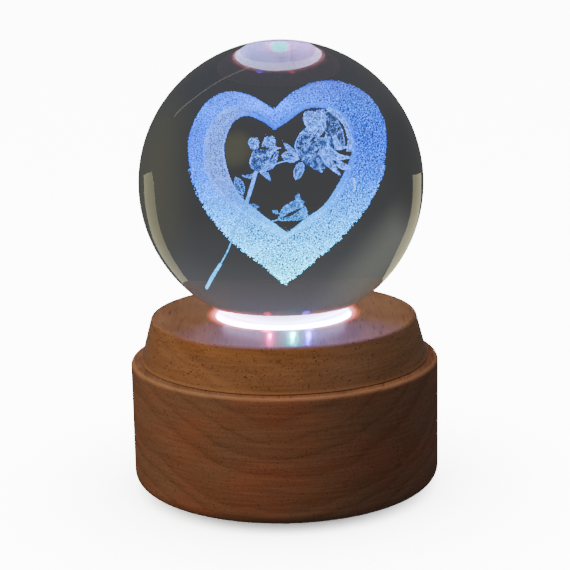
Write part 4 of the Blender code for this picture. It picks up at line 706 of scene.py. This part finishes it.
rose_bud = (
    ([(-0.6, -6.2), (0.3, -4.4), (2.0, -3.3), (3.4, -2.8)],
     [(-0.5, -6.4), (1.7, -5.2), (3.6, -4.3), (4.3, -3.4)], 130),
    ([(-0.5, -6.6), (2.0, -5.9), (4.1, -4.5)], [(-0.3, -6.8), (2.8, -6.8), (5.1, -6.4)], 130),
    ([(3.6, -4.0), (4.3, -4.2), (4.8, -4.9)], [(3.3, -5.9), (4.3, -6.2), (5.1, -6.2)], 110),
    ([(2.6, -2.3), (2.8, -3.0), (3.1, -3.4)], [(3.3, -1.7), (3.6, -2.5), (3.7, -3.3)], 130),
)

large_rose_depth, small_rose_depth = -3.0, -1.8
dense = 100

# Leaves, as (start, end, width, flecks per square mm, depth, bend)
leaves = (
    ((3.5, 5.1), (0.7, 8.2), 0.9, 150, -2.4, 0.0),
    ((3.5, 5.0), (0.2, 5.8), 2.0, 150, -2.4, 0.0),
    ((4.1, 4.4), (2.8, 1.0), 1.7, 150, -2.4, 0.0),
    ((-4.6, 2.5), (-7.4, 1.9), 0.6, 150, -1.6, 0.6),
    ((-3.9, 2.5), (-2.0, 0.8), 0.8, 150, -1.6, 0.3),
    ((-0.5, -5.5), (-1.7, -4.9), 0.6, 150, -1.6, 0.0),
    ((-7.4, -1.7), (-11.7, -0.1), 1.8, 90, -6.0, 0.0),
    ((-7.4, -1.2), (-8.9, 2.3), 1.7, 90, -5.6, 0.0),
    ((-6.9, -3.5), (-4.4, -3.6), 0.9, 110, -5.6, 0.0),
)
# Stems, as (route, radii along it, gap between flecks)
stems = (
    ([(-4.7, -1.8, 2.5), (-5.5, -3.4, 0.4), (-6.5, -5.4, -2.0), (-7.0, -6.2, -3.4)],
     (0.3, 0.34, 0.32), 0.09),
    ([(-7.0, -6.2, -3.4), (-8.3, -6.6, -6.0), (-9.5, -6.8, -8.3), (-10.0, -6.8, -10.2)],
     (0.32, 0.28, 0.12), 0.11),
    ([(-10.0, -6.8, -10.2), (-11.0, -6.9, -12.5), (-12.5, -7.0, -15.1)], (0.1, 0.11, 0.1), 0.09),
    ([(-12.5, -7.0, -15.1), (-14.4, -7.1, -17.9), (-16.5, -7.2, -21.4)], (0.28, 0.34, 0.3), 0.09),
    ([(-3.9, -1.8, 2.6), (-0.7, -2.0, 4.1), (1.2, -2.2, 4.6), (3.6, -2.6, 5.0)],
     (0.08, 0.07, 0.08), 0.08),
    ([(-9.5, -6.8, -7.7), (-7.0, -6.2, -7.3), (-4.5, -4.8, -7.1), (-2.3, -3.2, -6.9), (-0.6, -1.8, -6.6)],
     (0.07, 0.07, 0.08), 0.08),
)

# The light painted on the flecks: height in mm, colour, power
heart_glow = (
    (-19, "#08dcff", 4.6), (-12, "#06b4ff", 3.8), (-5, "#0890ff", 2.9), (2, "#0568ff", 2.3),
    (10, "#0658ff", 2.1), (17, "#1666ff", 2.4), (23, "#4065ff", 1.4),
)
flower_glow = (
    (-21, "#20b4ff", 4.6), (-12, "#20a8ff", 3.8), (-8, "#20a0ff", 3.2), (-3, "#2088ff", 3.2),
    (2, "#4484ff", 3.8), (15, "#4a86ff", 4.4),
)


def make_heart():
    """The heart: a face of grains over a dimmer layer, a lined wall behind it, and a fringe below."""
    behind = front + 0.9
    edge = front_outer * 0.985
    outer, ridge = at_depth(edge, front), at_depth(front_inner, front)
    hole = at_depth(back_inner, back)
    inward = at_depth(front_inner * 1.01 + (-0.1, -0.1), behind)
    under = at_depth(edge * 0.985, behind)
    face_look = lit_fractures("lit_fractures_face", heart_glow, 3.0, 0.32, 0.7)
    face = [rows_between(ridge, outer, rows, 0.37, (0.06, 0.13), -0.05) for rows in (16, 17)]
    face.append(fringe(edge, front + 0.2, 0.6, 900))
    fleck_cloud("engraved_heart_face", np.concatenate(face), 0.13, face_look)
    under_look = lit_fractures("lit_fractures_under", heart_glow, 1.15, 0.9, 0.3)
    layer = rows_between(inward, under, 26, 0.26, (0.05, 0.08))
    fleck_cloud("engraved_heart_under", layer, 0.15, under_look)
    # The wall's upper left gets a paler lavender-blue painted light
    wall_look = lit_fractures("lit_fractures_wall", heart_glow, 1.5, 0.6, 0.4, left=("#5c8cff", 2.5))
    wall = rows_between(ridge, hole, 21, 0.16, (0.04, 0.08), -0.12, 0.97)
    rim = rows_between(hole, hole * 1.012, 2, 0.12, (0.04, 0.04))
    fleck_cloud("engraved_heart_wall", np.concatenate([wall, rim]), 0.12, wall_look)


def make_flowers():
    """The flowers: clouds of finer flecks on petals, leaves and round stems.

    A petal seen face on is dense and bright. A fold is sparse, and its flecks keep to its edges."""
    shapes = [(*shape, large_rose_depth) for shape in large_rose]
    shapes += [(*shape, small_rose_depth) for shape in (*small_rose, *rose_bud)]
    petals = [blade(*shape) for shape in shapes if shape[2] > dense]
    folds = [blade(*shape, rim=0.3) for shape in shapes if shape[2] <= dense]
    green = [leaf(*shape) for shape in leaves] + [stem(*shape) for shape in stems]
    petal_look = lit_fractures("lit_fractures_petals", flower_glow, 1.55, 0.5, 0.7)
    fleck_cloud("engraved_flowers", np.concatenate(petals), 0.058, petal_look)
    fold_look = lit_fractures("lit_fractures_folds", flower_glow, 1.15, 0.9, 0.85)
    fleck_cloud("engraved_flower_folds", np.concatenate(folds), 0.07, fold_look)
    stem_look = lit_fractures("lit_fractures_stems", flower_glow, 1.15, 0.5, 0.5)
    fleck_cloud("engraved_leaves_and_stems", np.concatenate(green), 0.065, stem_look)


def make_engraving():
    """The heart and the flowers, and the nodes they stand for."""
    make_heart()
    make_flowers()
    for cloud, node in (("engraved_heart_face", "engraved_heart"), ("engraved_flowers", "engraved_roses")):
        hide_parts(node)


def dress(look, *nodes):
    """Gives kept nodes their material."""
    for node in nodes:
        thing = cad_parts[node]
        thing.data.materials.clear()
        thing.data.materials.append(look)


def numbered(name, count):
    """The names of pieces that come several times, counted from one."""
    return [f"{name}_{i + 1}" for i in range(count)]


def dress_inner_pieces():
    """Materials for the kept nodes: plastics, rubber, foam, metals, boards, leads and lights."""
    dress(
        moulded("acetal_moulded", "#e9e6dd", 0.42),
        "glide_ring", "bearing_column", "light_carrier", "ring_gear", "drive_pinion", "switch_knob",
    )
    dress(moulded("abs_textured_black", "#1b1b1d", 0.55, 0.35, 0.03), "bottom_cover", "rear_panel")
    dress(moulded("rubber_matt", "#2b2b2d", 0.85, 0.5, 0.03), *numbered("foot", 3))
    dress(moulded("foam_pad", "#3a3a3d", 0.95, 0.8, 0.1), "battery_pad")
    dress(
        machined("brass_turned", "#c8a052", 0.28),
        "winding_knob", "spring_barrel", "pin_cylinder", "transfer_wheel", "air_brake",
    )
    dress(
        machined("steel_zinc_plated", "#b4b6b8", 0.34),
        "winding_arbor", "ratchet_wheel", "click", "movement_plate", "comb", "left_bracket",
        "right_bracket", "usb_socket", "switch_body", *numbered("cover_screw", 3),
        *numbered("bearing_screw", 3), *numbered("gear_screw", 3), *numbered("plate_screw", 3),
        *numbered("comb_screw", 2),
    )
    dress(machined("spring_steel_blued", "#39415a", 0.3), "mainspring")
    dress(moulded("circuit_board_green", "#1d5a37", 0.4, 0.6, 0.01), "light_board", "control_board")
    dress(machined("battery_foil", "#a9adb3", 0.38, (2.5, 2.5, 2.5)), "battery")
    dress(moulded("pvc_sheath_red", "#9c1f1a", 0.35), "battery_lead")
    dress(moulded("pvc_sheath_white", "#e4e1da", 0.35), "light_lead")
    lenses = (("red", "#ff5a48"), ("green", "#7dffdc"), ("blue", "#8478ff"), ("white", "#f4f4ff"))
    for name, colour in lenses:
        dress(moulded(f"led_lens_{name}", colour, 0.2), f"led_{name}")


def towards(azimuth, elevation):
    """A unit direction: azimuth from +Y towards +X, elevation up, in degrees."""
    a, e = np.radians(azimuth), np.radians(elevation)
    return np.stack([np.sin(a) * np.cos(e), np.cos(a) * np.cos(e), np.sin(e)], -1)


def room_look(name, levels, patches=()):
    """Light that depends on the direction alone: a ramp from below to above, with soft patches.

    A patch is (azimuth, elevation, inner and outer angle, colour as linear light)."""
    made, tree = new_material(name)
    where = add(tree, "TexCoord").outputs["Object"]
    direction = add(tree, "VectorMath", [(0, where)], operation="NORMALIZE")
    height = add(tree, "SeparateXYZ", [(0, direction)]).outputs["Z"]
    up = add(tree, "MapRange", between(height, -1.0, 1.0))
    stops = [(0.5 + 0.5 * math.sin(math.radians(at)), (*shade, 1)) for at, shade in levels]
    colour = add(tree, "ValToRGB", [("Fac", up)], stops=stops)
    for azimuth, elevation, inner, outer, shade in patches:
        links = [(0, direction), (1, tuple(towards(azimuth, elevation)))]
        near = add(tree, "VectorMath", links, operation="DOT_PRODUCT").outputs["Value"]
        links = between(near, math.cos(math.radians(outer)), math.cos(math.radians(inner)))
        mask = add(tree, "MapRange", links, interpolation_type="SMOOTHSTEP")
        colour = add(tree, "MixRGB", [("Fac", mask), ("Color1", colour), ("Color2", (*shade, 1))])
    glow = add(tree, "Emission", [("Color", colour), ("Strength", 1.0)])
    add(tree, "OutputMaterial", [("Surface", glow)])
    made.cycles.emission_sampling = "NONE"
    return made


def seen_only(thing, through=False, mirrored=False):
    """Lets only light refracted through the glass, or only reflected light, meet a stage piece."""
    thing.visible_camera = False
    thing.visible_diffuse = False
    thing.visible_shadow = False
    thing.visible_transmission = through
    thing.visible_glossy = mirrored


def reflected_card(name, edge_a, edge_b, glow):
    """A pale card a metre away that the polished ball mirrors, between two lines of directions.

    Only perfectly sharp reflections show it, so it puts no sheen on the wood."""
    made, tree = new_material(name)
    sharp = add(tree, "LightPath").outputs["Is Singular Ray"]
    dark = add(tree, "Emission", [("Color", "#444444"), ("Strength", 1.0)])
    card = add(tree, "Emission", [("Color", (*glow, 1)), ("Strength", 1.0)])
    both = add(tree, "MixShader", [(0, sharp), (1, dark), (2, card)])
    add(tree, "OutputMaterial", [("Surface", both)])
    made.cycles.emission_sampling = "NONE"
    edges = [towards(*np.array(edge, float).T) + ball_centre for edge in (edge_a, edge_b)]
    faces = grid_faces(2, len(edge_a))
    seen_only(solid_from(name, np.concatenate(edges), faces, made), mirrored=True)


def make_floor():
    """A pale floor with a painted contact shadow where the lamp stands on it, and clear from below."""
    radius, painted_shadow_reach, paper_power = 3.0, 50 * MM, 12.0
    made, tree = new_material("stage_paper")
    # Painted contact shadow: ambient occlusion darkens the floor's glow round the lamp
    shade = add(tree, "AmbientOcclusion", [("Distance", painted_shadow_reach)], samples=8)
    glow = add(tree, "Emission", [("Color", shade), ("Strength", paper_power)])
    paper = add(tree, "BsdfPrincipled", [("Base Color", "#f3f2f0"), ("Roughness", 0.9)])
    both = add(tree, "AddShader", [(0, glow), (1, paper)])
    from_below = add(tree, "NewGeometry").outputs["Backfacing"]
    one_sided = add(tree, "MixShader", [(0, from_below), (1, both), (2, add(tree, "BsdfTransparent"))])
    add(tree, "OutputMaterial", [("Surface", one_sided)])
    made.cycles.emission_sampling = "NONE"
    angles = np.linspace(0, math.tau, 96, endpoint=False)
    rim = np.stack([radius * np.cos(angles), radius * np.sin(angles), 0 * angles], -1)
    floor = solid_from("stage_floor", rim, [list(range(96))], made)
    floor.visible_transmission = False
    floor.visible_glossy = False
    floor.visible_diffuse = False


def make_rooms():
    """A dim room that shows through the ball, and another that it mirrors."""
    radius = 2.4
    through = (
        (-60, (0.062, 0.063, 0.072)), (-32, (0.066, 0.067, 0.072)), (-12, (0.058, 0.058, 0.060)),
        (2, (0.062, 0.061, 0.062)), (14, (0.078, 0.079, 0.082)), (28, (0.115, 0.115, 0.122)),
        (45, (0.15, 0.15, 0.16)), (80, (0.17, 0.17, 0.18)),
    )
    patches = (
        (60, -5, 10, 38, (0.10, 0.097, 0.074)),
        (-48, 30, 8, 34, (0.18, 0.18, 0.155)),
        (-60, -10, 8, 30, (0.052, 0.050, 0.050)),
        (12, -16, 0.5, 6, (0.105, 0.101, 0.072)),
    )
    look = room_look("stage_dim_room", through, patches)
    seen_only(ball_of("stage_room", radius, 0, look, rows=24, columns=48), through=True)
    mirrored = (
        (-60, (0.06, 0.06, 0.06)), (-10, (0.09, 0.09, 0.08)), (30, (0.10, 0.10, 0.10)),
        (80, (0.1, 0.1, 0.11)),
    )
    look = room_look("stage_mirrored_room", mirrored)
    seen_only(ball_of("stage_reflections", radius + 0.1, 0, look, rows=24, columns=48), mirrored=True)


# The cards that the ball mirrors: two edges, as (azimuth, elevation) from its centre, and linear light
cards = {
    "left": (
        [(-38.6, -4.7), (-40.4, -7.2), (-39.2, -11.6), (-38.0, -14.4), (-34.9, -17.4), (-30.0, -19.8),
         (-27.2, -22.1), (-25.8, -24.8), (-23.6, -26.4), (-19.6, -27.0)],
        [(-56.1, -0.1), (-61.0, -3.8), (-62.0, -8.9), (-60.9, -14.6), (-58.8, -19.2), (-54.6, -26.3),
         (-51.2, -30.6), (-46.8, -34.3), (-40.9, -36.8), (-35.7, -38.5)],
        (1.1, 1.02, 0.6),
    ),
    "right": (
        [(28.1, -6.9), (29.0, -9.3), (26.0, -12.5), (21.5, -14.4), (17.0, -15.6), (14.0, -16.6),
         (12.0, -17.4), (11.5, -18.2), (10.6, -18.6), (9.2, -19.0)],
        [(52.2, -4.0), (52.2, -7.7), (51.1, -13.2), (49.4, -17.5), (48.4, -21.9), (47.4, -25.8),
         (45.0, -28.9), (39.8, -31.0), (31.4, -31.0), (22.2, -28.8)],
        (1.2, 1.1, 0.62),
    ),
    "line": (
        [(-54.5, 23.9), (-54.8, 28.0), (-55.6, 36.5), (-53.1, 45.1), (-44.4, 53.1), (-31.1, 59.2),
         (-12.9, 56.7), (-0.2, 46.5)],
        [(-55.8, 23.9), (-56.2, 28.2), (-57.3, 36.8), (-55.0, 45.6), (-46.6, 53.9), (-33.2, 60.6),
         (-14.0, 58.5), (-0.2, 48.8)],
        (1.1, 1.05, 0.85),
    ),
    "sparkle": (
        [(122.3, 6.8), (122.6, 3.4), (122.3, -0.6)],
        [(120.1, 7.1), (120.0, 3.0), (120.4, -0.9)],
        (9.0, 9.4, 10.5),
    ),
}


def make_stage():
    """The floor, the rooms and the cards: none of them belongs to the lamp."""
    make_floor()
    make_rooms()
    for name, card in cards.items():
        reflected_card(f"stage_card_{name}", *card)


def make_world():
    """Pale behind the lamp as the camera sees it, and a little soft light from all round."""
    world = bpy.data.worlds.new("studio")
    bpy.context.scene.world = world
    world.use_nodes = True
    tree = world.node_tree
    tree.nodes.clear()
    pale = add(tree, "Background", [("Color", "#f7f7f7"), ("Strength", 12.5)])
    soft = add(tree, "Background", [("Color", "#e9ecf2"), ("Strength", 0.12)])
    seen = add(tree, "LightPath").outputs["Is Camera Ray"]
    both = add(tree, "MixShader", [(0, seen), (1, soft), (2, pale)])
    add(tree, "OutputWorld", [("Surface", both)])


def new_light(name, kind, place, power, colour):
    """A light that neither the camera nor a refracted ray sees."""
    light = bpy.data.lights.new(name, kind)
    light.energy = power
    light.color = linear(colour)[:3]
    thing = bpy.data.objects.new(name, light)
    bpy.context.scene.collection.objects.link(thing)
    thing.location = place
    thing.visible_camera = False
    thing.visible_transmission = False
    return thing


def area_light(name, place, aim, size, power, colour="#ffffff"):
    """A soft box that lights the piece but isn't mirrored in it."""
    thing = new_light(name, "AREA", place, power, colour)
    thing.data.shape = "RECTANGLE"
    thing.data.size, thing.data.size_y = size
    thing.rotation_euler = (Vector(aim) - Vector(place)).to_track_quat("-Z", "Y").to_euler()
    thing.visible_glossy = False


def make_lights(tier):
    """Soft boxes left, right and above, and the streaks that the coloured lights draw on the wood.

    A streak is a small light over the window's rim that only the oiled top mirrors."""
    area_light("key_left", (-0.62, -0.44, 0.50), (0, 0, 0.04), (0.45, 0.45), 5.7, "#fff0dc")
    area_light("fill_right", (0.6, -0.5, 0.3), (0, 0, 0.04), (0.4, 0.5), 0.7, "#eef3ff")
    area_light("top", (0, 0.1, 0.8), (0, 0, 0.05), (0.6, 0.6), 4.0)
    receivers = bpy.data.collections.new("streak_receivers")
    receivers.objects.link(tier)
    y, height, radius = -18.6 * MM, tier_high.z + 2.2 * MM, 0.5 * MM
    streaks = (
        ("red", -3.9, "#ff0090", 0.0042),
        ("cyan", 2.4, "#00f2ff", 0.009),
        ("violet", 6.8, "#5020ff", 0.006),
    )
    for name, x, colour, power in streaks:
        streak = new_light(f"streak_{name}", "POINT", (x * MM, y, height), power, colour)
        streak.data.shadow_soft_size = radius
        streak.visible_diffuse = False
        streak.light_linking.receiver_collection = receivers


def make_camera():
    """The photograph's viewpoint, fitted to its outlines: 458 mm away, looking 13 degrees down."""
    distance, eye_height = 458.35 * MM, 162.0 * MM
    focal_pixels, picture_pixels = 1650, 570
    yaw, pitch, roll = (math.radians(a) for a in (0.07, -12.99, -1.14))
    forward = Vector((math.sin(yaw) * math.cos(pitch), math.cos(yaw) * math.cos(pitch), math.sin(pitch)))
    right = forward.cross(Vector((0, 0, 1))).normalized()
    up = right.cross(forward)
    across = right * math.cos(roll) + up * math.sin(roll)
    upright = up * math.cos(roll) - right * math.sin(roll)
    camera = bpy.data.cameras.new("camera")
    camera.sensor_width = 36
    camera.lens = camera.sensor_width * focal_pixels / picture_pixels
    thing = bpy.data.objects.new("camera", camera)
    bpy.context.scene.collection.objects.link(thing)
    turn = Matrix((across, upright, -forward)).transposed().to_4x4()
    thing.matrix_world = Matrix.Translation((0, -distance, shell_low.z + eye_height)) @ turn
    bpy.context.scene.camera = thing


make_camera()
make_lower_tier()
tier = make_upper_tier()
make_window()
make_ball()
make_engraving()
dress_inner_pieces()
make_stage()
make_world()
make_lights(tier)
